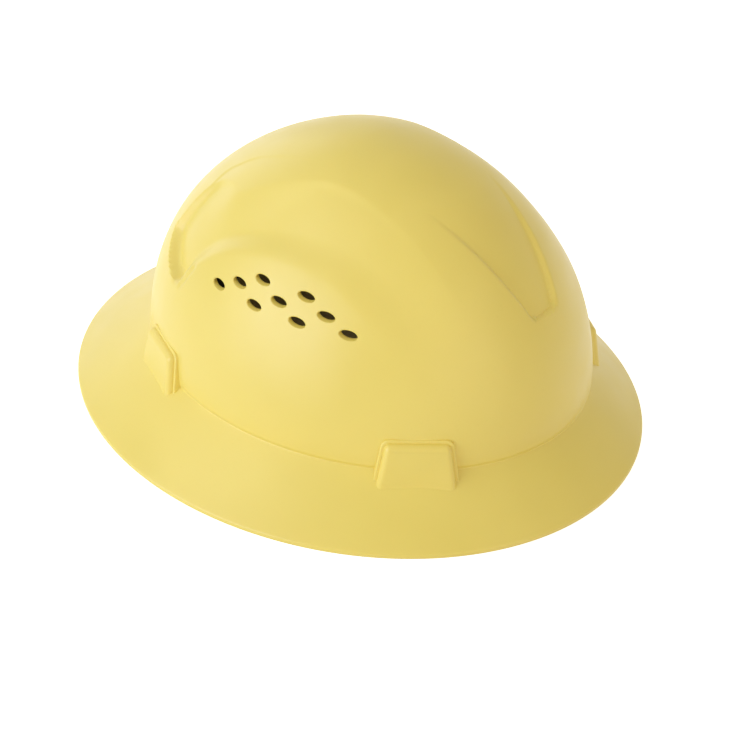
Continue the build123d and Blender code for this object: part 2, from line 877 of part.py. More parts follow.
def ratchet_pinion():
    """Toothed pinion with a journal, a round shaft for the cover and a hexagon for the dial."""
    gear_foot = head_centre_y + left_arm_radius - gear_side_gap
    gear_top = head_centre_y + cover_radius - gear_side_gap
    pitch = 2 * pi / pinion_teeth
    half = pi / (2 * pinion_teeth) - tooth_backlash / (2 * gear_pitch_radius)
    tip = half * tooth_tip_share
    root = half * tooth_root_share
    corners = []
    for tooth in range(pinion_teeth):
        middle = pi / 2 + tooth * pitch
        for angle, radius in (
            (-root, gear_root_radius),
            (-half, gear_pitch_radius),
            (-tip, gear_outer_radius),
            (tip, gear_outer_radius),
            (half, gear_pitch_radius),
            (root, gear_root_radius),
        ):
            corners.append((radius * cos(middle + angle), radius * sin(middle + angle)))
    toothed = make_face(Polyline(*corners, close=True))
    gear = extrude(dial_plane(gear_foot) * toothed, amount=gear_top - gear_foot)
    journal = disc(journal_radius, head_centre_y + band_radius + gear_side_gap, gear_foot)
    shaft = disc(shaft_radius, gear_top, cover_face_y + gear_side_gap)
    hexagonal = extrude(
        dial_plane(cover_face_y) * hexagon(hex_across), amount=hex_top_y - cover_face_y
    )
    bore = disc(screw_radius + screw_gap, dial_top_y - screw_length - screw_gap, dial_top_y)
    return gear + journal + shaft + hexagonal - bore


def click_spring():
    """A hub with curved fingers whose nibs click in the cover's ring."""
    width = spring_finger_width / 2
    nib_top = click_bore_radius - spring_nib_gap
    outline = Circle(spring_hub_radius)
    for finger in range(spring_fingers):
        turn = Rot(0, 0, finger * 4 * right_angle / spring_fingers)
        rim = Circle(spring_finger_radius + width) - Circle(spring_finger_radius - width)
        half_angle = spring_finger_angle / 2
        far = 2 * click_bore_radius
        side = far * cos(radians(half_angle)), far * sin(radians(half_angle))
        wedge = make_face(Polyline((0, 0), side, (side[0], -side[1]), close=True))
        spoke_middle = (spring_hub_radius + spring_finger_radius) / 2
        spoke = Pos(spoke_middle - width, 0) * Rectangle(
            spring_finger_radius - spring_hub_radius + width, 2 * spring_finger_width
        )
        nib = Polyline(
            (spring_finger_radius, -spring_finger_width),
            (nib_top, 0),
            (spring_finger_radius, spring_finger_width),
            close=True,
        )
        outline += turn * (rim & wedge)
        outline += turn * Rot(0, 0, -half_angle) * spoke
        outline += turn * Rot(0, 0, nib_turn_steps * 4 * right_angle / click_teeth) * make_face(nib)
    outline -= hexagon(hex_across + 2 * hex_gap)
    return extrude(dial_plane(spring_y) * outline, amount=spring_thickness)


def adjuster_knob():
    """The dial: a cup over the clicking ring, with a hub on the pinion's hexagon."""
    cup = disc(dial_radius, dial_foot_y, dial_top_y)
    rim = [edge for edge in cup.edges() if edge.center().Y > dial_top_y - edge_slack]
    cup = fillet(rim, dial_round)
    cup -= disc(dial_radius - dial_wall, dial_foot_y - overrun, dial_inner_y)
    cup += disc(hub_radius, hub_foot_y, dial_inner_y)
    cup -= extrude(
        dial_plane(hub_foot_y - overrun) * hexagon(hex_across + 2 * hex_gap),
        amount=dial_inner_y - hub_foot_y + overrun,
    )
    cup -= disc(screw_radius + screw_gap, dial_inner_y - overrun, dial_top_y)
    return cup - disc(screw_head_radius + screw_gap, dial_top_y - screw_head, dial_top_y + overrun)


def knob_grip():
    """A soft ring with finger lobes round the dial."""
    foot_y = dial_top_y - grip_set_back - grip_depth
    outer = dial_radius + grip_gap + grip_thickness
    outline = Circle(outer)
    lobe = Pos(outer - grip_lobe_radius / 2, 0) * Circle(grip_lobe_radius)
    for step in range(grip_lobes):
        outline += Rot(0, 0, step * 4 * right_angle / grip_lobes) * lobe
    outline -= Circle(dial_radius + grip_gap)
    return extrude(dial_plane(foot_y) * outline, amount=grip_depth)


def knob_screw():
    """Holds the dial on the pinion."""
    seat = dial_top_y - screw_head
    screw = disc(screw_radius, dial_top_y - screw_length, seat) + disc(screw_head_radius, seat, dial_top_y)
    for turn in (0, right_angle):
        slot = Rot(0, turn, 0) * Box(2 * screw_radius, screw_head, screw_radius / 2)
        screw -= Pos(0, dial_top_y, arm_level_z) * slot
    return screw


def nape_pad():
    """Soft pad on the head side of the housing."""
    outer = band_radius - pad_gap
    return curved_wall(
        outer - nape_pad_thickness, outer, nape_pad_width, nape_pad_height, nape_pad_round
    )


def pieces():
    rear_plane, front_plane = pocket_planes()
    rear_key, front_key = key(rear_plane), key(front_plane)
    return {
        "shell": shell(),
        "rear_left_key": rear_key,
        "rear_right_key": rear_key.mirror(Plane.YZ),
        "front_left_key": front_key,
        "front_right_key": front_key.mirror(Plane.YZ),
        "left_crown_strap": crown_strap(rear_plane, mirrored_plane(front_plane), 0),
        "right_crown_strap": crown_strap(front_plane, mirrored_plane(rear_plane), strap_stack),
        "headband": headband(),
        "brow_pad": brow_pad(),
        "left_arm": left_arm(),
        "right_arm": right_arm(),
        "left_arm_stud": arm_stud(left_arm_radius),
        "right_arm_stud": arm_stud(right_arm_radius).mirror(Plane.YZ),
        "ratchet_housing": ratchet_housing(),
        "ratchet_cover": ratchet_cover(),
        "housing_screws": housing_screws(),
        "ratchet_pinion": ratchet_pinion(),
        "click_spring": click_spring(),
        "adjuster_knob": adjuster_knob(),
        "knob_grip": knob_grip(),
        "knob_screw": knob_screw(),
        "nape_pad": nape_pad(),
    }


os.makedirs("parts", exist_ok=True)
for name, solid in pieces().items():
    export_step(solid, f"parts/{name}.step")
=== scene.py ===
import json
from math import cos, pi, radians, sin

import bmesh
import bpy
import numpy as np
from mathutils import Matrix, Vector


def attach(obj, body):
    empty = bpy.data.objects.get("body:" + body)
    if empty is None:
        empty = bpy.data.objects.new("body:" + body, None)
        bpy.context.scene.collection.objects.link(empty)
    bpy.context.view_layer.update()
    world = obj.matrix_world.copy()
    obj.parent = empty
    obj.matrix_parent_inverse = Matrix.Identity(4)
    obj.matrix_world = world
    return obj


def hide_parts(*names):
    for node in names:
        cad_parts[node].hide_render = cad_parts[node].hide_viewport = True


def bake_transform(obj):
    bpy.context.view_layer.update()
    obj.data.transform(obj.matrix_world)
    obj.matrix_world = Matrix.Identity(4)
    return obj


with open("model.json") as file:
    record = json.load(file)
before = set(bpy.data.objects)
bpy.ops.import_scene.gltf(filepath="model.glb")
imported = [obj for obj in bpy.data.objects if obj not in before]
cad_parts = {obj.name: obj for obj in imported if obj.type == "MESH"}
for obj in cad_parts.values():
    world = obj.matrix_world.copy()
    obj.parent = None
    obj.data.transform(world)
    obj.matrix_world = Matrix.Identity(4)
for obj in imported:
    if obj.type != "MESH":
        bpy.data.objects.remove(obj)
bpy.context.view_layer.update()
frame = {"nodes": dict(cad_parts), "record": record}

# Sizes are in millimetres, in the frame of the model, and become metres where a mesh is made.
MM = 0.001

# Shell sizes, as the shell node has them
brim_length = 320.0
brim_width = 276.0
lip_height = 2.4
lip_width = 3.0
lip_round = 0.9
brim_wall_drop = 3.0
crown_height = 150.0
crease_height = 29.3
crown_half_width = 103.5
crown_front_length = 123.4
crown_rear_length = 124.0
crown_centre_y = 7.0
crown_wall = 2.4
crease_round = 0.8
crease_groove = 0.75
side_profile_shares = (1.80, 1.97)
front_profile_shares = (2.23, 1.66)
rear_profile_shares = (1.84, 2.16)
crown_rise = crown_height - crease_height

# Recessed scoop and rear panel: how far their floors lie in, along X, Y and Z
scoop_shift = (7.0, -2.6, -2.9)
panel_shift = (0.0, 3.3, -0.2)
scoop_front_shares = (
    (-0.36, 0.825), (-0.49, 0.800), (-0.577, 0.753), (-0.658, 0.667), (-0.707, 0.589),
    (-0.684, 0.549), (-0.621, 0.513), (-0.547, 0.497), (-0.496, 0.495),
)
scoop_arch_shares = (
    (-0.496, 0.495), (-0.425, 0.581), (-0.267, 0.678), (-0.037, 0.732),
    (0.195, 0.728), (0.337, 0.682), (0.518, 0.590), (0.766, 0.457),
)
scoop_crest_shares = (
    (0.786, 0.589), (0.584, 0.777), (0.349, 0.887), (0.114, 0.933), (-0.105, 0.916), (-0.36, 0.825),
)
panel_side_shares = ((0.264, 0.90), (0.248, 0.868), (0.214, 0.809), (0.172, 0.723), (0.114, 0.612))
panel_foot_shares = ((0.114, 0.612), (0.095, 0.596), (0.057, 0.590), (0.0, 0.589))
scoop_edge_softness = 0.12
scoop_front_slope = 5.0
scoop_arch_slopes = (8.0, 28.0)
scoop_crest_slopes = (6.0, 6.0, 34.0)
scoop_crest_steps = (0.0, 0.7, 1.0)
scoop_tail = (74.0, 102.0)
panel_slope = 2.4
panel_fade = (139.0, 118.0)
ridge_points = (
    (43.0, -65.5, 110.6), (34.5, -60.2, 119.6), (31.8, -52.3, 125.7),
    (29.8, -43.5, 131.3), (30.0, -33.3, 135.6), (30.2, -23.5, 139.0),
    (30.2, -8.9, 142.5), (29.4, 4.7, 144.2), (28.6, 18.0, 144.5),
)
ridge_foot_z = 108.0
ridge_drop = 0.5
ridge_step_width = 1.0
ridge_band_width = 13.0
ridge_fade_share = 0.06
notch_points = ((79.7, -52.4, 76.4), (79.4, -49.8, 79.6), (78.2, -47.3, 84.2), (76.9, -44.7, 88.7))
notch_drop = 0.9
notch_width = 2.2
notch_curve_points = 20

# Vents
vent_length = 9.1
vent_height = 4.4
vent_tilt = radians(6.0)
vent_centre_y = 15.6
vent_pitch_y = 12.6
vent_row_heights = (102.0, 96.5, 91.0)
vent_row_steps = ((-1, 1), (-2, 0, 2), (-3, -1, 1, 3))
vent_cut_depth = 9.0
vent_sides = 56
vent_chamfer = 0.45
vent_lean_y = -0.2
slope_step = 0.5

# Key pockets
pocket_rear_x = 74.0
pocket_front_x = 88.3
pocket_shoulder_z = 44.6
pocket_foot_z = 16.5
pocket_shoulder_out = 2.5
pocket_foot_out = 6.9
pocket_root_in = 9.0
pocket_top_width = 31.0
pocket_foot_width = 41.0
pocket_step = 1.5
pocket_step_round = 0.7
pocket_step_drop = 3.3
pocket_round = 2.8
pocket_corner = 2.6
pocket_lean = (pocket_foot_out - pocket_shoulder_out) / (pocket_shoulder_z - pocket_foot_z)
corner_points = 7
bevel_segments = 6
pocket_wall = 1.8
pocket_side_wall = 2.4
pocket_recess = 0.9
pocket_room_top_z = 40.0
pocket_mouth_drop = 8.0

# Suspension sizes, as its nodes have them
key_clearance = 0.3
key_tab_thickness = 2.4
key_bridge_z = 24.5
key_bar_foot_z = 49.0
key_top_z = 53.0
key_lean = 7.0
strap_width = 19.0
strap_thickness = 1.3
strap_apex_z = 111.0
strap_stack = 1.65
strap_powers = (2.3, 2.05)
head_centre_y = 18.0
band_radius = 84.0
band_front_length = 108.0
band_thickness = 1.6
band_foot_z = 28.0
band_height = 28.0
pad_gap = 0.3
pad_thickness = 3.2
pad_wrap = 1.2
pad_edge = 1.4
pad_end_angle = radians(46.6)
nape_pad_thickness = 3.6
nape_pad_width = 58.0
nape_pad_height = 29.0
nape_pad_round = 13.0
nape_radius = band_radius - pad_gap
nape_level_z = 20.0
arm_radius = 86.5
arm_fixed_angle = radians(9.0)
arm_sliding_angle = radians(56.0)
arm_stud_z = 38.0
arm_height = 18.0
arm_neck_height = 13.0
arm_level_angle = radians(47.0)
arm_ease = 1.3
arm_ease_band = 4.0
arm_eased_angle = radians(33.0)
arm_longest_edge = 4.0

# Soft pieces: how much smaller they start, how far they may swell, and their sewn channels
puff_slack = 0.5
puff_cap = 0.55
puff_voxel = 1.3
puff_grow = 8.0
puff_pressure = 4.0
puff_frames = 20
brow_channels = (-36, -24, -12, 0, 12, 24, 36)
nape_channels = (-12, 0, 12)
channel_depth = 0.8
channel_width = 1.3
pad_points = 60
wrap_rows = 120
wrap_points = 60
wrap_bow = 0.05
wrap_bow_z = 8.0
wrap_shoulder = 1.2

# Webbing: its thicker woven edges and ribs as shares of its half width and thickness, and its loops
webbing_points = 27
webbing_edge_power = 14
selvedge_place_share = 0.9
selvedge_width_share = 0.05
selvedge_rise_share = 0.16
rib_rise_share = 0.05
rib_count = 9
strap_rows = 60
loop_points = 48
loop_power = 0.45
loop_margin = 0.6

# Seams: each stitch as rings along it with their sizes, and where the rows of stitches run
stitch_length = 2.6
stitch_pitch = 3.4
stitch_radius = 0.32
stitch_ring_shares = ((-1, 0.4), (-0.7, 0.9), (0, 1), (0.7, 0.9), (1, 0.4))
stitch_sides = 6
stitch_rise_share = 0.55
stitch_dip_share = 1.1
box_margin = 2.8
key_seam_margin = 2.4
key_seam_rows = (4, 6, 8, -5, -7, -9)
seam_points = 80
brow_seam_margin = 1.5
brow_seam_share = 0.97
nape_seam_margin = 3.0
nape_seam_share = 0.55
square_corners = ((-1, -1), (1, -1), (1, 1), (-1, 1))

# Edges that turn by more degrees than these stay sharp
shell_sharp_angle = 28
arm_sharp_angle = 30
webbing_sharp_angle = 50
soft_sharp_angle = 60

# How fine the shell's mesh is: columns round it and rows down each stretch
columns = 560
dome_rows = 150
crease_rows = 8
cone_rows = 14
inner_cone_rows = 10
inner_dome_rows = 70
rim_rows = 4
height_samples = 2000
curve_points = 90
smallest = 1e-12
cut_extra = 5.0

# The photograph's camera: it looks at a point, turned about it, then shifted in its own picture plane
photo_side = 729
photo_focal_px = 1614.77
camera_target = Vector((0.0, -11.23, 60.0))
camera_azimuth = radians(126.61)
camera_elevation = radians(35.03)
camera_roll = radians(2.01)
camera_distance = 849.99
camera_offset = (-11.99, 46.21)
sensor_width = 36.0
camera_clip_start = 0.01

# Light and floor: the floor's half width is in millimetres, and the rest in metres
world_light = 0.555
lamp_distance = 2.4
lamp_target_height = 0.06
glow_power = 0.012
glow_size = 0.03
glow_place = (0.0, 0.01, 0.085)
floor_half = 6000.0
floor_glow = 0.8
inside_floor_radius = 0.13


def new_object(name, data):
    piece = bpy.data.objects.new(name, data)
    bpy.context.scene.collection.objects.link(piece)
    return piece


def object_from_points(name, points, faces):
    """An object from points in millimetres."""
    mesh = bpy.data.meshes.new(name)
    mesh.from_pydata((np.asarray(points) * MM).tolist(), [], faces)
    mesh.update()
    return new_object(name, mesh)


def object_from_body(name, body):
    """An object from a bmesh, which is then freed."""
    mesh = bpy.data.meshes.new(name)
    body.to_mesh(mesh)
    body.free()
    return new_object(name, mesh)


def bridge(body, rings):
    """Adds rings of points in millimetres, with faces from each to the next, and returns the rings."""
    rings = [[body.verts.new(Vector(point) * MM) for point in ring] for ring in rings]
    for lower, upper in zip(rings, rings[1:]):
        for i in range(len(lower)):
            j = (i + 1) % len(lower)
            body.faces.new((lower[i], lower[j], upper[j], upper[i]))
    return rings


def add_closed(body, rings):
    """Adds a closed shape through rings of points."""
    rings = bridge(body, rings)
    body.faces.new(rings[0][::-1])
    body.faces.new(rings[-1])


def closed_shape(rings):
    """A bmesh of one closed shape through rings of points, its faces turned outward."""
    body = bmesh.new()
    add_closed(body, rings)
    bmesh.ops.recalc_face_normals(body, faces=body.faces)
    return body


def filled_object(name, rings):
    """A closed object through long rings of points, its ends filled with faces from side to side."""
    body = bmesh.new()
    rings = bridge(body, rings)
    for end in (rings[0], rings[-1]):
        count = len(end)
        for i in range(count // 2 - 1):
            body.faces.new((end[i], end[i + 1], end[count - 2 - i], end[count - 1 - i]))
    bmesh.ops.recalc_face_normals(body, faces=body.faces)
    return object_from_body(name, body)


def tube_faces(rows, count, closed=False):
    """Faces between rows of points, each row a ring."""
    faces = []
    for row in range(rows if closed else rows - 1):
        a, b = row * count, (row + 1) % rows * count
        for i in range(count):
            j = (i + 1) % count
            faces.append((a + i, b + i, b + j, a + j))
    return faces


def profile(share, shares):
    """How wide the crown still is at a share of its rise."""
    rise_power, width_power = shares
    return np.maximum(0.0, 1 - np.maximum(share, 0) ** rise_power) ** (1 / width_power)


def crown_sizes(z, inset=0.0):
    share = (z - crease_height) / (crown_rise - inset)
    return (
        (crown_half_width - inset) * profile(share, side_profile_shares),
        (crown_front_length - inset) * profile(share, front_profile_shares),
        (crown_rear_length - inset) * profile(share, rear_profile_shares),
    )


def egg_ring(half_width, front, rear, centre_y, z):
    """Points of a level egg outline, one for each column."""
    turn = np.linspace(0, 2 * pi, columns, endpoint=False)
    reach = np.where(np.sin(turn) > 0, rear, front)
    x = half_width * np.cos(turn)
    y = centre_y + reach * np.sin(turn)
    return np.stack([x, y, np.full(columns, float(z))], axis=1)


def dome_ring(z, inset=0.0):
    return egg_ring(*crown_sizes(z, inset), crown_centre_y, z)


def brim_ring(inset, z):
    half_length = brim_length / 2 - inset
    return egg_ring(brim_width / 2 - inset, half_length, half_length, 0, z)


def lengths_along(steps):
    """How far along a line each of its points lies, from the lengths of its steps."""
    return np.concatenate([[0], np.cumsum(steps)])


def dome_heights(rows, inset=0.0):
    """Heights for evenly spaced rings down the dome, from just under its top to the crease."""
    rise = crown_rise - inset
    fine = crease_height + rise * np.sin(np.linspace(pi / 2, 0, height_samples))
    width, front, rear = crown_sizes(fine, inset)
    along = lengths_along(np.hypot(np.diff((width + front + rear) / 3), np.diff(fine)))
    return np.interp(np.linspace(0, along[-1], rows + 1)[1:], along, fine)


def rounded_corner(before, corner, after, rows):
    """Rings of a smooth bend from one ring to another round a corner ring."""
    rings = []
    for t in np.linspace(0, 1, rows + 2)[1:-1]:
        rings.append((1 - t) ** 2 * before + 2 * t * (1 - t) * corner + t**2 * after)
    return rings


def unit(vectors):
    """Vectors of length 1 with the same directions."""
    return vectors / np.maximum(np.linalg.norm(vectors, axis=-1, keepdims=True), smallest)


def towards(start, end, distance):
    """A ring at a distance from one ring towards another."""
    return start + unit(end - start) * distance


def outer_dome_rings():
    foot = crease_height + crease_round
    heights = dome_heights(dome_rows)
    return [dome_ring(z) for z in heights[heights > foot + crease_round / 4]] + [dome_ring(foot)]


def outer_lower_rings(foot_ring):
    """The crease, the brim's slope and the rim, down to the flat that the hat rests on."""
    crease = dome_ring(crease_height, crease_groove)
    crease[:, 2] -= crease_groove
    edge = brim_ring(0, lip_height)
    slope_start = towards(crease, edge, crease_round)
    rings = rounded_corner(foot_ring, crease, slope_start, crease_rows)
    rim_start = towards(edge, crease, lip_round)
    rings += [slope_start * (1 - t) + rim_start * t for t in np.linspace(0, 1, cone_rows)]
    upper, lower = brim_ring(0, lip_height - lip_round), brim_ring(0, lip_round)
    foot = brim_ring(lip_round, 0)
    rings += rounded_corner(rim_start, edge, upper, rim_rows) + [upper, lower]
    return rings + rounded_corner(lower, brim_ring(0, 0), foot, rim_rows) + [foot]


def room_lower_rings():
    """The rim's inner wall, the brim's underside and the crown wall's foot."""
    low_crease = dome_ring(crease_height)
    low_crease[:, 2] -= brim_wall_drop
    low_edge = brim_ring(0, lip_height - brim_wall_drop)
    way = low_crease - low_edge
    rim_share = lip_width / np.linalg.norm(way[:, :2], axis=1, keepdims=True)
    rim_top = low_edge + way * rim_share
    rim_foot = rim_top.copy()
    rim_foot[:, 2] = -cut_extra
    throat_foot = dome_ring(crease_height, crown_wall)
    throat_foot[:, 2] = low_crease[:, 2]
    slope = [rim_top * (1 - t) + low_crease * t for t in np.linspace(0, 1, inner_cone_rows + 1)]
    return [rim_foot, rim_top, *slope[1:-1], low_crease, throat_foot]


def smooth_curve(points, count=curve_points):
    """Points of a smooth curve through a few places."""
    points = np.asarray(points, float)
    ends = np.concatenate([[2 * points[0] - points[1]], points, [2 * points[-1] - points[-2]]])
    result = []
    for t in np.linspace(0, len(points) - 1, count):
        i = min(int(t), len(points) - 2)
        u = t - i
        a, b, c, d = ends[i : i + 4]
        result.append(
            0.5 * (2 * b + (c - a) * u + (2 * a - 5 * b + 4 * c - d) * u**2 + (3 * b - a - 3 * c + d) * u**3)
        )
    return np.array(result)


def crown_x(y, z):
    width, front, rear = crown_sizes(np.asarray(z, float))
    reach = np.where(y > crown_centre_y, rear, front)
    return width * np.maximum(0, 1 - ((y - crown_centre_y) / reach) ** 2) ** 0.5


def crown_y(x, z):
    width, _, rear = crown_sizes(np.asarray(z, float))
    return crown_centre_y + rear * np.maximum(0, 1 - (x / width) ** 2) ** 0.5


def side_curve(shares):
    """A curve on the crown's left face, from shares seen from the side."""
    seen = smooth_curve([(y * crown_front_length + crown_centre_y, z * crown_height) for y, z in shares])
    return np.column_stack([crown_x(seen[:, 0], seen[:, 1]), seen])


def rear_curve(shares):
    """A curve on the crown's rear face, from shares seen from behind."""
    seen = smooth_curve([(x * crown_half_width, z * crown_height) for x, z in shares])
    return np.column_stack([seen[:, 0], crown_y(seen[:, 0], seen[:, 1]), seen[:, 1]])


def inside_outline(points, outline):
    """Which flat points lie inside a closed outline."""
    inside = np.zeros(len(points), bool)
    px, py = points[:, 0], points[:, 1]
    for (ax, ay), (bx, by) in zip(outline, np.roll(outline, -1, axis=0)):
        crosses = (ay > py) != (by > py)
        if ay != by:
            inside ^= crosses & (px < (bx - ax) * (py - ay) / (by - ay) + ax)
    return inside


def nearest_on_curve(points, curve):
    """Distance of each point from a polyline in space, and how far along it that is."""
    nearest = np.full(len(points), np.inf)
    share = np.zeros(len(points))
    for i, (a, b) in enumerate(zip(curve[:-1], curve[1:])):
        way = b - a
        t = np.clip(((points - a) @ way) / max(way @ way, smallest), 0, 1)
        distance = np.linalg.norm(points - a - t[:, None] * way, axis=1)
        share = np.where(distance < nearest, (i + t) / (len(curve) - 1), share)
        nearest = np.minimum(nearest, distance)
    return nearest, share


def smooth_step(t):
    t = np.clip(t, 0, 1)
    return t * t * (3 - 2 * t)


def ease_in(t):
    """Rises at once from zero, with a little softness, and levels out."""
    soft = scoop_edge_softness
    t = (np.sqrt(np.clip(t, 0, 1) ** 2 + soft**2) - soft) / (np.sqrt(1 + soft**2) - soft)
    return t * (2 - t)


def scoop_depth(points, normals):
    """How far in the scoops on both sides lie at points of the crown."""
    mirror = np.where(points[:, :1] < 0, (-1, 1, 1), (1, 1, 1))
    mirrored, facing = points * mirror, normals * mirror
    front, arch, crest = map(side_curve, (scoop_front_shares, scoop_arch_shares, scoop_crest_shares))
    outline = np.concatenate([front, arch, crest])[:, 1:]
    inside = inside_outline(mirrored[:, 1:], outline) & (mirrored[:, 0] > 1)
    depth = np.zeros(len(points))
    near = mirrored[inside]
    fall = ease_in(nearest_on_curve(near, front)[0] / scoop_front_slope)
    distance, share = nearest_on_curve(near, arch)
    fall *= smooth_step(distance / np.interp(share, (0, 1), scoop_arch_slopes))
    distance, share = nearest_on_curve(near, crest)
    fall *= ease_in(distance / np.interp(share, scoop_crest_steps, scoop_crest_slopes))
    fall *= smooth_step((scoop_tail[1] - near[:, 1]) / (scoop_tail[1] - scoop_tail[0]))
    depth[inside] = np.maximum(0, facing[inside] @ np.array(scoop_shift)) * fall
    notch = nearest_on_curve(mirrored, smooth_curve(notch_points, notch_curve_points))[0]
    depth += notch_drop * (1 - smooth_step(notch / notch_width))
    return depth + ridge_depth(mirrored)


def ridge_depth(mirrored):
    """The shallow step that runs on from each scoop's front edge over the top of the crown."""
    ridge = smooth_curve(ridge_points)
    distance, share = nearest_on_curve(mirrored, ridge)
    ridge_x = np.interp(mirrored[:, 1], ridge[:, 1], ridge[:, 0])
    outboard = (mirrored[:, 0] > ridge_x) & (mirrored[:, 2] > ridge_foot_z)
    step = smooth_step(distance / ridge_step_width) * (1 - smooth_step(distance / ridge_band_width))
    fade = smooth_step(share / ridge_fade_share) * (1 - smooth_step(share))
    return np.where(outboard & (share > 0) & (share < 1), ridge_drop * step * fade, 0)


def panel_depth(points, normals):
    """How far in the rear panel lies at points of the crown."""
    side, foot = rear_curve(panel_side_shares), rear_curve(panel_foot_shares)
    left = np.concatenate([side, foot])
    right = left[::-1] * (-1, 1, 1)
    outline = np.concatenate([left, right])[:, [0, 2]]
    inside = inside_outline(points[:, [0, 2]], outline) & (points[:, 1] > crown_centre_y)
    depth = np.zeros(len(points))
    near = points[inside]
    distance = np.minimum(nearest_on_curve(near, left)[0], nearest_on_curve(near, right)[0])
    wall = 1 - np.cos(pi / 2 * np.clip(distance / panel_slope, 0, 1))
    fade = smooth_step((panel_fade[0] - near[:, 2]) / (panel_fade[0] - panel_fade[1]))
    depth[inside] = np.maximum(0, normals[inside] @ np.array(panel_shift)) * wall * fade
    return depth


def grid_normals(rings):
    """Outward normals of a stack of rings."""
    grid = np.stack(rings)
    down = np.gradient(grid, axis=0)
    around = np.roll(grid, -1, axis=1) - np.roll(grid, 1, axis=1)
    normal = unit(np.cross(down, around))
    middle = np.array((0, crown_centre_y, crease_height))
    outward = np.sum(normal * (grid - middle), axis=2, keepdims=True)
    return normal * np.where(outward < 0, -1, 1)


def recessed(rings):
    """Points of a dome's rings with the scoops and the rear panel pressed in."""
    normals = grid_normals(rings).reshape(-1, 3)
    points = np.concatenate(rings)
    depth = scoop_depth(points, normals) + panel_depth(points, normals)
    return points - normals * depth[:, None]


def closed_body(name, points, top, foot_z):
    """A closed body from level rings, with a point at its top and one at its foot."""
    rows = len(points) // columns
    points = np.concatenate([points, [(0, crown_centre_y, top)], [(0, 0, foot_z)]])
    faces = tube_faces(rows, columns)
    first, last, base = len(points) - 2, len(points) - 1, (rows - 1) * columns
    for i in range(columns):
        j = (i + 1) % columns
        faces += [(first, i, j), (last, base + j, base + i)]
    return object_from_points(name, points, faces)


def outer_body():
    """Crown and brim as one solid, with the scoops and the rear panel pressed in."""
    dome = outer_dome_rings()
    points = np.concatenate([recessed(dome)] + outer_lower_rings(dome[-1]))
    return closed_body("shell_moulding", points, crown_height, 0)


def room_body():
    """The room inside the crown and under the brim, which leaves the walls when cut away."""
    dome = [dome_ring(z, crown_wall) for z in dome_heights(inner_dome_rows, crown_wall)]
    lower = room_lower_rings()[::-1]
    points = np.concatenate([recessed(dome)] + lower)
    return closed_body("room", points, crown_height - crown_wall, -cut_extra)


def pocket_frames():
    """For each pocket: its foot on the crease and the directions outward and along the wall."""
    frames = []
    for x, rear in ((pocket_rear_x, True), (pocket_front_x, False)):
        length = crown_rear_length if rear else crown_front_length
        reach = length * (1 - (x / crown_half_width) ** 2) ** 0.5
        way = 1 if rear else -1
        for side in (1, -1):
            outward = Vector((side * x / crown_half_width**2, way * reach / length**2, 0)).normalized()
            place = Vector((side * x, crown_centre_y + way * reach, 0))
            frames.append((place, outward, outward.cross(Vector((0, 0, 1)))))
    return frames


def pocket_outline(widen, corner):
    """A pocket seen from outside: its feet and its rounded upper corners, along the wall and up."""
    foot, top = pocket_foot_width / 2 + widen, pocket_top_width / 2 + widen
    top_z = pocket_shoulder_z + widen
    slope = (foot - top) / (top_z - pocket_foot_z)
    points = []
    for t in np.linspace(0, 1, corner_points):
        across = (1 - t) ** 2 * (top + slope * corner) + 2 * t * (1 - t) * top + t**2 * (top - corner)
        up = (1 - t) ** 2 * (top_z - corner) + (2 * t * (1 - t) + t**2) * top_z
        points.append((across, up))
    left = [(foot, pocket_foot_z)] + points
    return left + [(-across, up) for across, up in left[::-1]]


def pocket_block(axes, radius, widen, drop):
    """The raised block over a key pocket, its outer edges rounded."""
    place, outward, along = axes
    roots, faces = [], []
    for across, z in pocket_outline(widen, pocket_corner + widen):
        level = place + along * across + Vector((0, 0, z))
        roots.append(level - outward * pocket_root_in)
        faces.append(level + outward * (pocket_shoulder_out - drop + pocket_lean * (pocket_shoulder_z - z)))
    body = closed_shape([roots, faces])
    body.faces.ensure_lookup_table()
    above = (pocket_foot_z + 1) * MM
    rim = [edge for edge in body.faces[-1].edges if max(vert.co.z for vert in edge.verts) > above]
    offset = radius * MM
    bmesh.ops.bevel(body, geom=rim, offset=offset, segments=bevel_segments, profile=0.5, affect="EDGES")
    return body


def pocket_hollow(axes):
    """The room for a key inside its pocket, open from below."""
    place, outward, along = axes
    foot, top = pocket_foot_z - pocket_mouth_drop, pocket_room_top_z
    outer_top = pocket_shoulder_out + pocket_lean * (pocket_shoulder_z - top) - pocket_wall
    outer_foot = outer_top + pocket_lean * (top - foot)
    section = ((-pocket_recess, foot), (-pocket_recess, top), (outer_top, top), (outer_foot, foot))
    half_width = pocket_top_width / 2 - pocket_side_wall
    return closed_shape([
        [place + outward * out + along * side * half_width + Vector((0, 0, z)) for out, z in section]
        for side in (-1, 1)
    ])


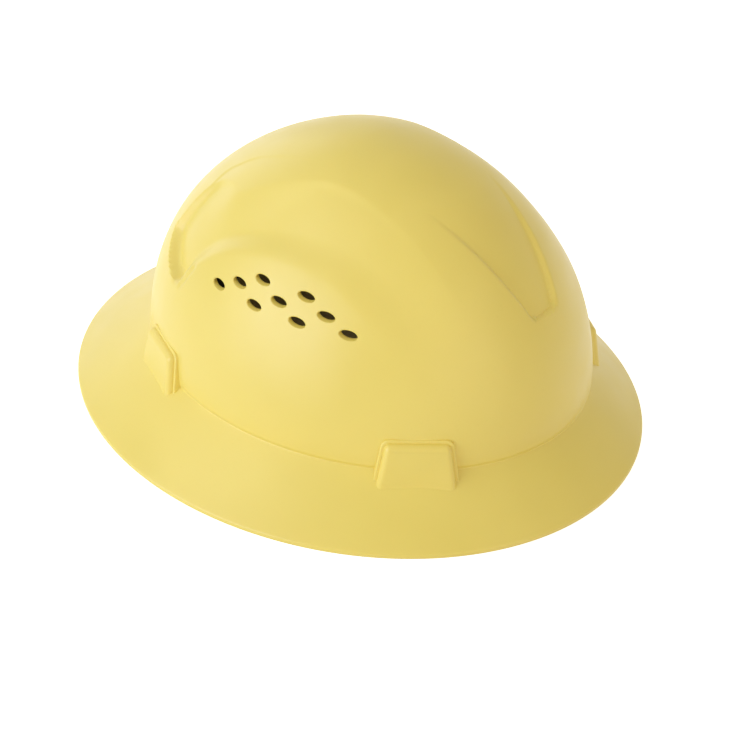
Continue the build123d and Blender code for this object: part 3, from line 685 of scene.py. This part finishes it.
def vent_hole(y, z, side):
    """An oval cutter that runs in level from the side, as a mould's core does, with a small chamfer."""
    slope_y = float(crown_x(y + slope_step, z) - crown_x(y - slope_step, z)) / (2 * slope_step)
    slope_z = float(crown_x(y, z + slope_step) - crown_x(y, z - slope_step)) / (2 * slope_step)
    normal = Vector((side, -slope_y, -slope_z)).normalized()
    level = Vector((side * slope_y, 1, 0)).normalized()
    upward = normal.cross(level) * side
    place = Vector((side * float(crown_x(y, z)), y, z))
    long_way = level * cos(vent_tilt) - upward * sin(vent_tilt)
    short_way = level * sin(vent_tilt) + upward * cos(vent_tilt)
    foot = place - normal * vent_chamfer
    inward = Vector((-side, vent_lean_y, 0)) * vent_cut_depth
    rings = []
    for middle, wider in (
        (foot + inward, 0),
        (foot, 0),
        (place + normal * vent_cut_depth, vent_cut_depth + vent_chamfer),
    ):
        ring = []
        for turn in (2 * pi * i / vent_sides for i in range(vent_sides)):
            across = long_way * cos(turn) * (vent_length / 2 + wider)
            across += short_way * sin(turn) * (vent_height / 2 + wider)
            ring.append(middle + across)
        rings.append(ring)
    return closed_shape(rings)


def joined_object(name, bodies):
    """One object from several separate bodies."""
    whole = bmesh.new()
    for body in bodies:
        piece = bpy.data.meshes.new(name)
        body.to_mesh(piece)
        body.free()
        whole.from_mesh(piece)
        bpy.data.meshes.remove(piece)
    return object_from_body(name, whole)


def apply_boolean(target, tool, operation):
    step = target.modifiers.new(operation, "BOOLEAN")
    step.operation = operation
    step.solver = "EXACT"
    step.object = tool
    apply_modifiers(target)
    bpy.data.objects.remove(tool)


def apply_modifiers(target):
    bpy.context.view_layer.update()
    graph = bpy.context.evaluated_depsgraph_get()
    mesh = bpy.data.meshes.new_from_object(target.evaluated_get(graph))
    target.modifiers.clear()
    old = target.data
    target.data = mesh
    bpy.data.meshes.remove(old)
    mesh.name = target.name


def smooth_shading(target, sharp_angle):
    target.data.shade_smooth()
    target.data.set_sharp_from_angle(angle=radians(sharp_angle))


def make_shell():
    shell = outer_body()
    frames = pocket_frames()
    for layer in ((pocket_round, 0.0, 0.0), (pocket_step_round, pocket_step, pocket_step_drop)):
        blocks = joined_object("pocket_blocks", [pocket_block(axes, *layer) for axes in frames])
        apply_boolean(shell, blocks, "UNION")
    apply_boolean(shell, room_body(), "DIFFERENCE")
    cutters = [pocket_hollow(axes) for axes in frames]
    for z, steps in zip(vent_row_heights, vent_row_steps):
        for step in steps:
            for side in (1, -1):
                cutters.append(vent_hole(vent_centre_y + step * vent_pitch_y, z, side))
    apply_boolean(shell, joined_object("openings", cutters), "DIFFERENCE")
    smooth_shading(shell, shell_sharp_angle)
    return shell


def strip_section():
    """Half thickness of webbing across its width, with thicker woven edges and faint ribs."""
    across = np.sin(np.linspace(-pi / 2, pi / 2, webbing_points))
    edge = (1 - np.abs(across) ** webbing_edge_power) ** 0.5
    from_selvedge = (np.abs(across) - selvedge_place_share) / selvedge_width_share
    ribs = rib_rise_share * np.cos(across * rib_count * pi)
    return across, edge * (1 + selvedge_rise_share * np.exp(-(from_selvedge**2)) + ribs)


def strip_mesh(centres, sideways, normals, width, closed=False):
    """Points and faces of webbing along a line, flat side along its normals."""
    across, thick = strip_section()
    across = np.concatenate([across, across[-2:0:-1]])
    thick = np.concatenate([thick, -thick[-2:0:-1]])
    points = centres[:, None] + sideways[:, None] * across[None, :, None] * width / 2
    points = points + normals[:, None] * thick[None, :, None] * strap_thickness / 2
    count, rows = len(across), len(centres)
    faces = [(a, d, c, b) for a, b, c, d in tube_faces(rows, count, closed)]
    if not closed:
        faces.append(tuple(range(count)))
        faces.append(tuple(range((rows - 1) * count, rows * count))[::-1])
    return points.reshape(-1, 3), faces


def key_face(z):
    """How far in from the crease a key's tab stands at a height, on its outer side."""
    rise = (z - key_bridge_z) / (key_top_z - key_bridge_z)
    return -crown_wall - 2 * key_clearance - key_lean * rise


def loop_strip(axes):
    """The sewn loop of webbing round a key's top bar."""
    place, outward, along = (np.array(v) for v in axes)
    half = strap_thickness / 2
    outer = key_face(key_bar_foot_z) + key_clearance + half
    inner = key_face(key_top_z) - key_tab_thickness - key_clearance - half
    low, high = key_bar_foot_z - key_clearance - half, key_top_z + key_clearance + half
    middle = np.array([(outer + inner) / 2, (low + high) / 2])
    reach = np.array([(outer - inner) / 2, (high - low) / 2])
    turn = np.linspace(0, 2 * pi, loop_points, endpoint=False)
    round_way = np.stack([np.cos(turn), np.sin(turn)], axis=1)
    flat = middle + reach * np.sign(round_way) * np.abs(round_way) ** loop_power
    step = np.roll(flat, -1, axis=0) - np.roll(flat, 1, axis=0)
    facing = unit(np.stack([step[:, 1], -step[:, 0]], axis=1))
    up = np.array([0, 0, 1])
    centres = place + outward * flat[:, :1] + up * flat[:, 1:]
    normals = outward * facing[:, :1] + up * facing[:, 1:]
    return strip_mesh(centres, np.tile(along, (len(flat), 1)), normals, strap_width - loop_margin, True)


def strap_line(start_axes, end_axes, lift):
    """Centres, width directions and outward normals of webbing from one key over the head to another."""
    foot_in = key_face(key_top_z) - key_tab_thickness - key_clearance - strap_thickness
    foot_z = (key_bar_foot_z + key_top_z) / 2
    start, end = (
        np.array(place) + np.array(outward) * foot_in for place, outward, _ in (start_axes, end_axes)
    )
    middle = start + (end - start) * (start[0] / (start[0] - end[0]))
    across = unit(np.cross(end - start, (0, 0, 1)))
    out_power, up_power = strap_powers
    centres, sideways = [], []
    for foot, axes, angles in (
        (start, start_axes, np.linspace(0, pi / 2, strap_rows)),
        (end, end_axes, np.linspace(pi / 2, 0, strap_rows)[1:]),
    ):
        along = np.array(axes[2])
        along = along if along @ across > 0 else -along
        for angle in angles:
            share = cos(angle) ** (2 / out_power)
            height = foot_z + (strap_apex_z + lift - foot_z) * sin(angle) ** (2 / up_power)
            flat = middle + (foot - middle) * share
            centres.append((flat[0], flat[1], height))
            sideways.append(unit(along * share + across * (1 - share)))
    centres, sideways = np.array(centres), np.array(sideways)
    normals = unit(np.cross(np.gradient(centres, axis=0), sideways))
    return centres, sideways, normals * np.where(normals[:, 2:] < 0, -1, 1)


def make_strap(name, start_axes, end_axes, lift):
    """Webbing over the head with a loop at each end, and the line that it follows."""
    line = strap_line(start_axes, end_axes, lift)
    strips = [strip_mesh(*line, strap_width), loop_strip(start_axes), loop_strip(end_axes)]
    faces, first = [], 0
    for points, strip_faces in strips:
        faces += [tuple(first + i for i in face) for face in strip_faces]
        first += len(points)
    strap = object_from_points(name, np.concatenate([points for points, _ in strips]), faces)
    smooth_shading(strap, webbing_sharp_angle)
    return strap, line


def add_stitch(body, place, way, normal):
    """One thread stitch that dips into the cloth at both ends."""
    side = normal.cross(way)
    rings = []
    for t, size in stitch_ring_shares:
        lift = stitch_rise_share - stitch_dip_share * t**2
        middle = place + way * (t * stitch_length / 2) + normal * stitch_radius * lift
        ring = []
        for turn in (2 * pi / stitch_sides * i for i in range(stitch_sides)):
            ring.append(middle + (side * cos(turn) + normal * sin(turn)) * size * stitch_radius)
        rings.append(ring)
    add_closed(body, rings)


def sew(name, target, runs):
    """Rows of stitches laid on a piece along lines that pass near its surface."""
    body = bmesh.new()
    for run in runs:
        run = np.asarray(run, float)
        along = lengths_along(np.linalg.norm(np.diff(run, axis=0), axis=1))
        for place in np.arange(stitch_pitch / 2, along[-1], stitch_pitch):
            point, ahead = (
                Vector([np.interp(at, along, run[:, k]) for k in range(3)])
                for at in (place, place + stitch_radius)
            )
            _, spot, normal, _ = target.closest_point_on_mesh(point * MM)
            way = ahead - point
            way = (way - normal * way.dot(normal)).normalized()
            add_stitch(body, spot / MM, way, normal)
    thread = object_from_body(name, body)
    smooth_shading(thread, soft_sharp_angle)
    return thread


def box_stitch(middle, first, second, half):
    """A sewn square with a cross in it."""
    corners = [middle + first * a * half + second * b * half for a, b in square_corners]
    return [*zip(corners, corners[1:] + corners[:1]), corners[::2], corners[1::2]]


def strap_runs(line, other_line):
    """Stitch lines where the straps cross, and across each end above its key."""
    centres, sideways, normals = line
    middle = len(centres) // 2
    first, second = sideways[middle], other_line[1][middle]
    runs = box_stitch(centres[middle] + normals[middle], first, second, strap_width / 2 - box_margin)
    for row in key_seam_rows:
        reach = sideways[row] * (strap_width / 2 - key_seam_margin)
        for face in (-1, 1):
            spot = centres[row] + normals[row] * face
            runs.append((spot - reach, spot + reach))
    return runs


def mesh_points(mesh):
    points = np.empty(len(mesh.vertices) * 3, np.float32)
    mesh.vertices.foreach_get("co", points)
    return points.reshape(-1, 3)


def set_mesh_points(mesh, points):
    mesh.vertices.foreach_set("co", np.asarray(points, np.float32).ravel())
    mesh.update()


def puff(piece):
    """Swells a closed slab like stuffed cloth, worked out at a larger size so that the cloth behaves."""
    piece.data.transform(Matrix.Scale(puff_grow, 4))
    remesh = piece.modifiers.new("remesh", "REMESH")
    remesh.mode = "VOXEL"
    remesh.voxel_size = puff_voxel * puff_grow * MM
    apply_modifiers(piece)
    start = mesh_points(piece.data)
    cloth = piece.modifiers.new("cloth", "CLOTH")
    cloth.settings.use_pressure = True
    cloth.settings.uniform_pressure_force = puff_pressure
    cloth.settings.effector_weights.gravity = 0
    for step in range(1, puff_frames + 1):
        bpy.context.scene.frame_set(step)
    graph = bpy.context.evaluated_depsgraph_get()
    swollen = mesh_points(piece.evaluated_get(graph).data)
    piece.modifiers.clear()
    bpy.context.scene.frame_set(1)
    move = swollen - start
    reach = np.linalg.norm(move, axis=1, keepdims=True)
    cap = puff_cap * puff_grow * MM
    set_mesh_points(piece.data, start + move * np.minimum(1, cap / np.maximum(reach, smallest)))
    piece.data.transform(Matrix.Scale(1 / puff_grow, 4))
    finer = piece.modifiers.new("finer", "SUBSURF")
    finer.levels = 1
    apply_modifiers(piece)


def press_channels(piece, radius, length, channels, middle_size):
    """Sewn channels across a pad's face on the head side."""
    points = mesh_points(piece.data) / MM
    x, y = points[:, 0] / radius, (points[:, 1] - head_centre_y) / length
    size = (np.hypot(x, y) - 1) * radius
    along = np.arctan2(x, np.abs(y)) * radius
    inner_face = smooth_step((middle_size - size) / pad_gap)
    depth = np.zeros(len(points))
    for channel in channels:
        depth += np.exp(-(((along - radians(channel) * radius) / channel_width) ** 2))
    way = unit(np.stack([x, y, np.zeros(len(points))], axis=1))
    set_mesh_points(piece.data, (points + way * (channel_depth * depth * inner_face)[:, None]) * MM)


def brow_place(angle, size, z):
    """A place round the brow, out by a size from the headband's inside."""
    return (band_radius + size) * sin(angle), head_centre_y - (band_front_length + size) * cos(angle), z


def nape_place(angle, size, z):
    """A place round the nape, out by a size from the cushion's back."""
    return (nape_radius + size) * sin(angle), head_centre_y + (nape_radius + size) * cos(angle), z


def make_cushion(name, outline, place, sizes, radii, channels):
    """A stuffed cushion with sewn channels, from a flat outline that a rule bends round the head."""
    cushion = filled_object(name, [[place(a, size, z) for a, z in outline] for size in sizes])
    puff(cushion)
    press_channels(cushion, *radii, channels, sum(sizes) / 2)
    smooth_shading(cushion, soft_sharp_angle)
    return cushion


def make_brow_cushion():
    low = band_foot_z - pad_gap - pad_edge + puff_slack
    high = band_foot_z + band_height + pad_gap + pad_edge - puff_slack
    angles = np.linspace(-pad_end_angle, pad_end_angle, pad_points)
    outline = [(a, low) for a in angles] + [(a, high) for a in angles[::-1]]
    sizes = -pad_gap - pad_thickness + puff_slack, -pad_gap - puff_slack
    radii = band_radius, band_front_length
    return make_cushion("brow_cushion", outline, brow_place, sizes, radii, brow_channels)


def make_brow_wrap():
    """The thin cloth that folds over both edges of the headband and down its outside."""
    half = pad_wrap / 2 - wrap_bow
    out = band_thickness + pad_gap + pad_wrap / 2
    high = band_foot_z + band_height + pad_gap + pad_edge / 2
    middle = band_foot_z + band_height / 2
    upper = [
        (-pad_thickness / 2, high),
        (0, high),
        (band_thickness, high - wrap_bow),
        (out, high - wrap_shoulder),
        (out + wrap_bow, middle + wrap_bow_z),
    ]
    line = smooth_curve(
        upper + [(out, middle)] + [(size, 2 * middle - z) for size, z in upper[::-1]], wrap_points
    )
    step = np.gradient(line, axis=0)
    facing = unit(np.stack([step[:, 1], -step[:, 0]], axis=1))
    section = np.concatenate([line + facing * half, (line - facing * half)[::-1]])
    angles = np.linspace(-pad_end_angle, pad_end_angle, wrap_rows)
    wrap = filled_object("brow_wrap", [[brow_place(a, size, z) for size, z in section] for a in angles])
    smooth_shading(wrap, soft_sharp_angle)
    return wrap


def make_nape_cushion():
    half_width, half_height = nape_pad_width / 2 - puff_slack, nape_pad_height / 2 - puff_slack
    upper, lower = [], []
    for t in np.linspace(-1, 1, pad_points + 1):
        across = sin(t * pi / 2)
        past = max(0.0, abs(across) * half_width - (half_width - nape_pad_round)) / nape_pad_round
        rise = half_height - nape_pad_round + nape_pad_round * (1 - past**2) ** 0.5
        upper.append((across * half_width / nape_radius, nape_level_z + rise))
        lower.append((across * half_width / nape_radius, nape_level_z - rise))
    sizes, radii = (puff_slack - nape_pad_thickness, -puff_slack), (nape_radius, nape_radius)
    return make_cushion("nape_cushion", lower + upper[::-1], nape_place, sizes, radii, nape_channels)


def edge_runs(place, size, half_angle, low, high):
    """Stitch lines along the lower and upper edges of a pad."""
    angles = np.linspace(-half_angle, half_angle, seam_points)
    return [[place(a, size, z) for a in angles] for z in (low, high)]


def ease_upper_edge(mesh):
    """Lowers a nape strap's upper edge a little, so that it clears the rear keys as it swings."""
    points = mesh_points(mesh) / MM
    y, z = points[:, 1], points[:, 2]
    level_y = head_centre_y + band_radius * sin(arm_level_angle)
    eased_y = head_centre_y + band_radius * sin(arm_eased_angle)
    foot_top, level_top = arm_stud_z + arm_neck_height / 2, nape_level_z + arm_height / 2
    top = np.interp(y, (head_centre_y, level_y), (foot_top, level_top))
    eased_top = np.interp(y, (head_centre_y, eased_y), (foot_top, level_top - arm_ease))
    near_top = np.clip((z - top + arm_ease_band) / arm_ease_band, 0, 1)
    points[:, 2] -= (top - eased_top) * near_top
    set_mesh_points(mesh, points * MM)


def make_arm(side):
    """A nape strap made from its solid, its long edges split and its upper edge eased."""
    name = "left_arm" if side > 0 else "right_arm"
    source = frame["nodes"][name]
    body = bmesh.new()
    body.from_mesh(source.data)
    body.transform(source.matrix_world)
    long_edges = [edge for edge in body.edges if edge.calc_length() > arm_longest_edge * MM]
    bmesh.ops.subdivide_edges(body, edges=long_edges, cuts=2)
    bmesh.ops.triangulate(body, faces=body.faces)
    arm = object_from_body(name + "_strap", body)
    ease_upper_edge(arm.data)
    smooth_shading(arm, arm_sharp_angle)
    dress(arm, "band_plastic")
    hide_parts(name)
    start, end = (
        (side * arm_radius * cos(a) * MM, (head_centre_y + arm_radius * sin(a)) * MM, nape_level_z * MM)
        for a in (arm_fixed_angle, arm_sliding_angle)
    )
    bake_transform(arm)
    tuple(start)
    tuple(end)


def make_soft_pieces():
    """The webbing and the cushions in place of the solids, and the thread that sews them."""
    rear_left, rear_right, front_left, front_right = pocket_frames()
    left, left_line = make_strap("left_webbing", rear_left, front_right, 0)
    right, right_line = make_strap("right_webbing", rear_right, front_left, strap_stack)
    brow, wrap, nape = make_brow_cushion(), make_brow_wrap(), make_nape_cushion()
    for piece, slot, node, rider in (
        (left, "webbing", "left_crown_strap", "root"),
        (right, "webbing", "right_crown_strap", "root"),
        (brow, "brow_fabric", "brow_pad", "root"),
        (wrap, "brow_fabric", "brow_pad", "root"),
        (nape, "pad_fabric", "nape_pad", "nape"),
    ):
        dress(piece, slot)
        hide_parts(node)
        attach(piece, rider)
    low, high = band_foot_z + brow_seam_margin, band_foot_z + band_height - brow_seam_margin
    reach = nape_pad_height / 2 - nape_seam_margin
    angle = nape_pad_width / 2 / band_radius * nape_seam_share
    brow_runs = edge_runs(brow_place, -pad_gap - pad_thickness, pad_end_angle * brow_seam_share, low, high)
    nape_runs = edge_runs(nape_place, -pad_thickness, angle, nape_level_z - reach, nape_level_z + reach)
    for name, target, runs, slot, rider in (
        ("left_thread", left, strap_runs(left_line, right_line), "webbing", "root"),
        ("right_thread", right, strap_runs(right_line, left_line), "webbing", "root"),
        ("brow_thread", brow, brow_runs, "brow_fabric", "root"),
        ("nape_thread", nape, nape_runs, "pad_fabric", "nape"),
    ):
        thread = sew(name, target, runs)
        thread.data.materials.append(MATERIALS["thread"])
        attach(thread, rider)


class Nodes:
    """The node tree of a material or world, with short calls to add nodes and feed their inputs."""

    def __init__(self, owner, output="ShaderNodeOutputMaterial"):
        self.owner = owner
        owner.use_nodes = True
        self.tree = owner.node_tree
        self.tree.nodes.clear()
        self.surface = self.add(output).inputs["Surface"]

    def feed(self, socket, value):
        """Links a socket to another node's output, or sets its value."""
        if hasattr(value, "is_linked"):
            self.tree.links.new(value, socket)
        elif socket.type == "RGBA":
            socket.default_value = (*value, 1)
        else:
            socket.default_value = value

    def add(self, kind, inputs=None, **settings):
        """A node of a kind, with its settings and what each input is fed with."""
        node = self.tree.nodes.new(kind)
        for key, value in settings.items():
            setattr(node, key, value)
        for key, value in (inputs or {}).items():
            self.feed(node.inputs[key], value)
        return node

    def place(self):
        return self.add("ShaderNodeTexCoord").outputs["Object"]

    def noise(self, scale, detail=3.0):
        inputs = {"Scale": scale, "Detail": detail, "Vector": self.place()}
        return self.add("ShaderNodeTexNoise", inputs).outputs["Fac"]

    def span(self, value, low, high, start=0.0, end=1.0):
        """The value moved from one span to another, and held within it."""
        inputs = {"Value": value, "From Min": start, "From Max": end, "To Min": low, "To Max": high}
        return self.add("ShaderNodeMapRange", inputs).outputs["Result"]

    def math(self, operation, first, second):
        return self.add("ShaderNodeMath", {0: first, 1: second}, operation=operation).outputs[0]

    def mix(self, share, first, second):
        inputs = {"Factor": share, "A": first, "B": second}
        return self.add("ShaderNodeMix", inputs, data_type="RGBA").outputs["Result"]

    def bump(self, height, strength, distance, **more):
        inputs = {"Height": height, "Strength": strength, "Distance": distance, **more}
        return self.add("ShaderNodeBump", inputs).outputs["Normal"]

    def show(self, shader, other=None, share=None):
        """Puts a shader on the surface, or a mix of it and another one."""
        if other:
            shader = self.add("ShaderNodeMixShader", {0: share, 1: shader, 2: other}).outputs[0]
        self.feed(self.surface, shader)

    def principled(self, **values):
        """The material with a principled shader that has these values."""
        inputs = {key.replace("_", " "): value for key, value in values.items()}
        self.show(self.add("ShaderNodeBsdfPrincipled", inputs).outputs["BSDF"])
        return self.owner


def shell_plastic():
    """Pale yellow moulded plastic with a satin gloss."""
    nodes = Nodes(bpy.data.materials.new("shell_plastic"))
    cloud = nodes.span(nodes.noise(14.0, 2.0), 0.0, 1.0, 0.35, 0.65)
    colour = nodes.mix(cloud, (0.79, 0.63, 0.13), (0.83, 0.665, 0.15))
    speck = nodes.span(nodes.noise(900.0, 2.0), 0.0, 0.35, 0.62, 0.8)
    return nodes.principled(
        Base_Color=nodes.mix(speck, colour, (0.76, 0.6, 0.125)),
        Roughness=nodes.span(nodes.noise(60.0, 4.0), 0.34, 0.42, 0.3, 0.7),
        Normal=nodes.bump(nodes.noise(1500.0, 3.0), 0.06, 0.0002),
        Subsurface_Weight=0.12,
        Subsurface_Radius=(0.005, 0.0035, 0.0012),
        Subsurface_Scale=0.8,
        IOR=1.5,
        Specular_IOR_Level=0.6,
    )


def grained_plastic(name, colour, roughness, grain=1200.0):
    """Moulded plastic with a fine spark-eroded grain."""
    nodes = Nodes(bpy.data.materials.new(name))
    lighter = tuple(min(1.0, part * 1.5 + 0.004) for part in colour)
    return nodes.principled(
        Base_Color=nodes.mix(nodes.span(nodes.noise(40.0), 0, 1, 0.4, 0.7), colour, lighter),
        Roughness=nodes.span(nodes.noise(grain / 6, 3.0), roughness - 0.06, roughness + 0.08, 0.3, 0.7),
        Normal=nodes.bump(nodes.noise(grain, 2.0), 0.25, 0.0002),
    )


def steel():
    """Zinc plated steel."""
    nodes = Nodes(bpy.data.materials.new("screw_steel"))
    return nodes.principled(
        Base_Color=nodes.mix(nodes.noise(300.0), (0.42, 0.42, 0.43), (0.55, 0.55, 0.56)),
        Metallic=1.0,
        Roughness=nodes.span(nodes.noise(900.0), 0.22, 0.4, 0.3, 0.7),
    )


def cloth(name, colour, weave):
    """Knitted cloth, its loops from two crossing waves."""
    nodes = Nodes(bpy.data.materials.new(name))
    lighter = tuple(part * 2.2 + 0.01 for part in colour)
    waves = []
    for direction in ("DIAGONAL", "Z"):
        inputs = {"Scale": weave, "Distortion": 0.6, "Vector": nodes.place()}
        waves.append(nodes.add("ShaderNodeTexWave", inputs, bands_direction=direction).outputs["Fac"])
    loops = nodes.math("MULTIPLY", *waves)
    fuzz = nodes.noise(2500.0, 2.0)
    return nodes.principled(
        Base_Color=nodes.mix(loops, colour, lighter),
        Roughness=nodes.span(fuzz, 0.8, 0.95, 0.3, 0.7),
        Normal=nodes.bump(loops, 0.5, 0.0004, Normal=nodes.bump(fuzz, 0.3, 0.0003)),
        Sheen_Weight=0.25,
        Sheen_Roughness=0.5,
    )


MATERIALS = {"shell_plastic": shell_plastic(), "screw_steel": steel()}
for name, *look in (
    ("suspension_plastic", (0.012, 0.012, 0.013), 0.5),
    ("band_plastic", (0.016, 0.016, 0.017), 0.42),
    ("case_plastic", (0.012, 0.012, 0.013), 0.55, 900.0),
    ("knob_plastic", (0.014, 0.014, 0.015), 0.45),
    ("grip_rubber", (0.025, 0.025, 0.027), 0.75, 700.0),
    ("gear_plastic", (0.55, 0.53, 0.47), 0.4),
):
    MATERIALS[name] = grained_plastic(name, *look)
for name, *look in (
    ("webbing", (0.016, 0.016, 0.018), 450.0),
    ("brow_fabric", (0.02, 0.02, 0.023), 380.0),
    ("pad_fabric", (0.02, 0.02, 0.023), 380.0),
    ("thread", (0.05, 0.05, 0.055), 700.0),
):
    MATERIALS[name] = cloth(name, *look)


def dress(piece, slot):
    """Gives a piece its material slot's finish."""
    piece.data.materials.clear()
    piece.data.materials.append(MATERIALS[slot])


def dress_cad_nodes():
    for entry in frame["record"]["subparts"]:
        node = frame["nodes"][entry["node"]]
        for holder in node.material_slots:
            holder.link = "OBJECT"
            holder.material = MATERIALS[entry["material_slot"]]


def view_way(azimuth, elevation):
    """The direction from the hat towards a viewer."""
    return Vector((sin(azimuth) * cos(elevation), -cos(azimuth) * cos(elevation), sin(elevation)))


def photo_camera():
    """The camera of the photograph, as solved from the hat's outline."""
    back = view_way(camera_azimuth, camera_elevation)
    level = Vector((cos(camera_azimuth), sin(camera_azimuth), 0))
    upward = back.cross(level)
    right = level * cos(camera_roll) + upward * sin(camera_roll)
    up = upward * cos(camera_roll) - level * sin(camera_roll)
    place = camera_target + back * camera_distance - right * camera_offset[0] - up * camera_offset[1]
    lens = bpy.data.cameras.new("photo_camera")
    lens.sensor_fit = "HORIZONTAL"
    lens.sensor_width = sensor_width
    lens.lens = photo_focal_px / photo_side * sensor_width
    lens.clip_start = camera_clip_start
    camera = new_object("photo_camera", lens)
    turn = Matrix((right, up, back)).transposed().to_4x4()
    camera.matrix_world = Matrix.Translation(place * MM) @ turn
    bpy.context.scene.camera = camera


def soft_lamp(name, turn, elevation, power, size, colour):
    """A square softbox, turned by some degrees from the camera's own side."""
    way = view_way(camera_azimuth + radians(turn), radians(elevation))
    lamp = new_object(name, bpy.data.lights.new(name, "AREA"))
    lamp.data.shape = "SQUARE"
    lamp.data.size = size
    lamp.data.energy = power
    lamp.data.color = colour
    lamp.location = way * lamp_distance + Vector((0, 0, lamp_target_height))
    lamp.rotation_euler = (-way).to_track_quat("-Z", "Y").to_euler()


def inner_glow():
    """A weak light in the crown, for the daylight that thin plastic lets through."""
    lamp = new_object("inner_glow", bpy.data.lights.new("inner_glow", "POINT"))
    lamp.data.energy = glow_power
    lamp.data.color = (1.0, 0.8, 0.45)
    lamp.data.shadow_soft_size = glow_size
    lamp.location = glow_place


def seen_directly(nodes):
    """1 for rays that see a surface directly or through a mirror, and else 0."""
    path = nodes.add("ShaderNodeLightPath").outputs
    total = path["Is Glossy Ray"]
    for name in ("Is Camera Ray", "Is Transmission Ray"):
        total = nodes.math("MAXIMUM", total, path[name])
    return total


def studio_world():
    """White where the camera looks, and a soft even light on the object."""
    world = bpy.data.worlds.new("studio")
    bpy.context.scene.world = world
    nodes = Nodes(world, "ShaderNodeOutputWorld")
    light, shown = (
        nodes.add("ShaderNodeBackground", {"Color": colour, "Strength": strength}).outputs[0]
        for colour, strength in (((1, 0.94, 0.8), world_light), ((1, 1, 1), 1.0))
    )
    nodes.show(light, shown, seen_directly(nodes))


def clear_of_hat(nodes, shown):
    """The same value, but 0 on the floor inside the hat, which stays as dark as its shade."""
    distance = nodes.add("ShaderNodeVectorMath", {0: nodes.place()}, operation="LENGTH").outputs["Value"]
    return nodes.math("MULTIPLY", nodes.math("GREATER_THAN", distance, inside_floor_radius), shown)


def studio_floor():
    """A pale floor that shows white to the camera and keeps the object's shadow."""
    corners = [(x * floor_half, y * floor_half, 0) for x, y in square_corners]
    floor = object_from_points("floor", corners, [(0, 1, 2, 3)])
    nodes = Nodes(bpy.data.materials.new("floor"))
    matt = nodes.add("ShaderNodeBsdfDiffuse", {"Color": (0.8, 0.8, 0.8)}).outputs[0]
    glow = nodes.add("ShaderNodeEmission", {"Color": (1, 1, 1), "Strength": floor_glow}).outputs[0]
    white = nodes.add("ShaderNodeAddShader", {0: matt, 1: glow}).outputs[0]
    nodes.show(matt, white, clear_of_hat(nodes, seen_directly(nodes)))
    floor.data.materials.append(nodes.owner)


photo_camera()
studio_world()
studio_floor()
soft_lamp("key_left", -58, 12, 47, 2.0, (0.68, 0.76, 1.0))
soft_lamp("key_high", -80, 50, 7, 1.6, (0.95, 0.98, 1.0))
soft_lamp("rim_left", -145, 14, 7, 1.6, (0.95, 0.98, 1.0))
soft_lamp("fill_right", 35, 14, 9, 1.6, (1.0, 0.84, 0.58))
inner_glow()

dress_cad_nodes()
shell = make_shell()
dress(shell, "shell_plastic")
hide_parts("shell")
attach(shell, "root")
make_soft_pieces()
for side in (1, -1):
    make_arm(side)

bpy.context.scene.view_settings.view_transform = "Standard"
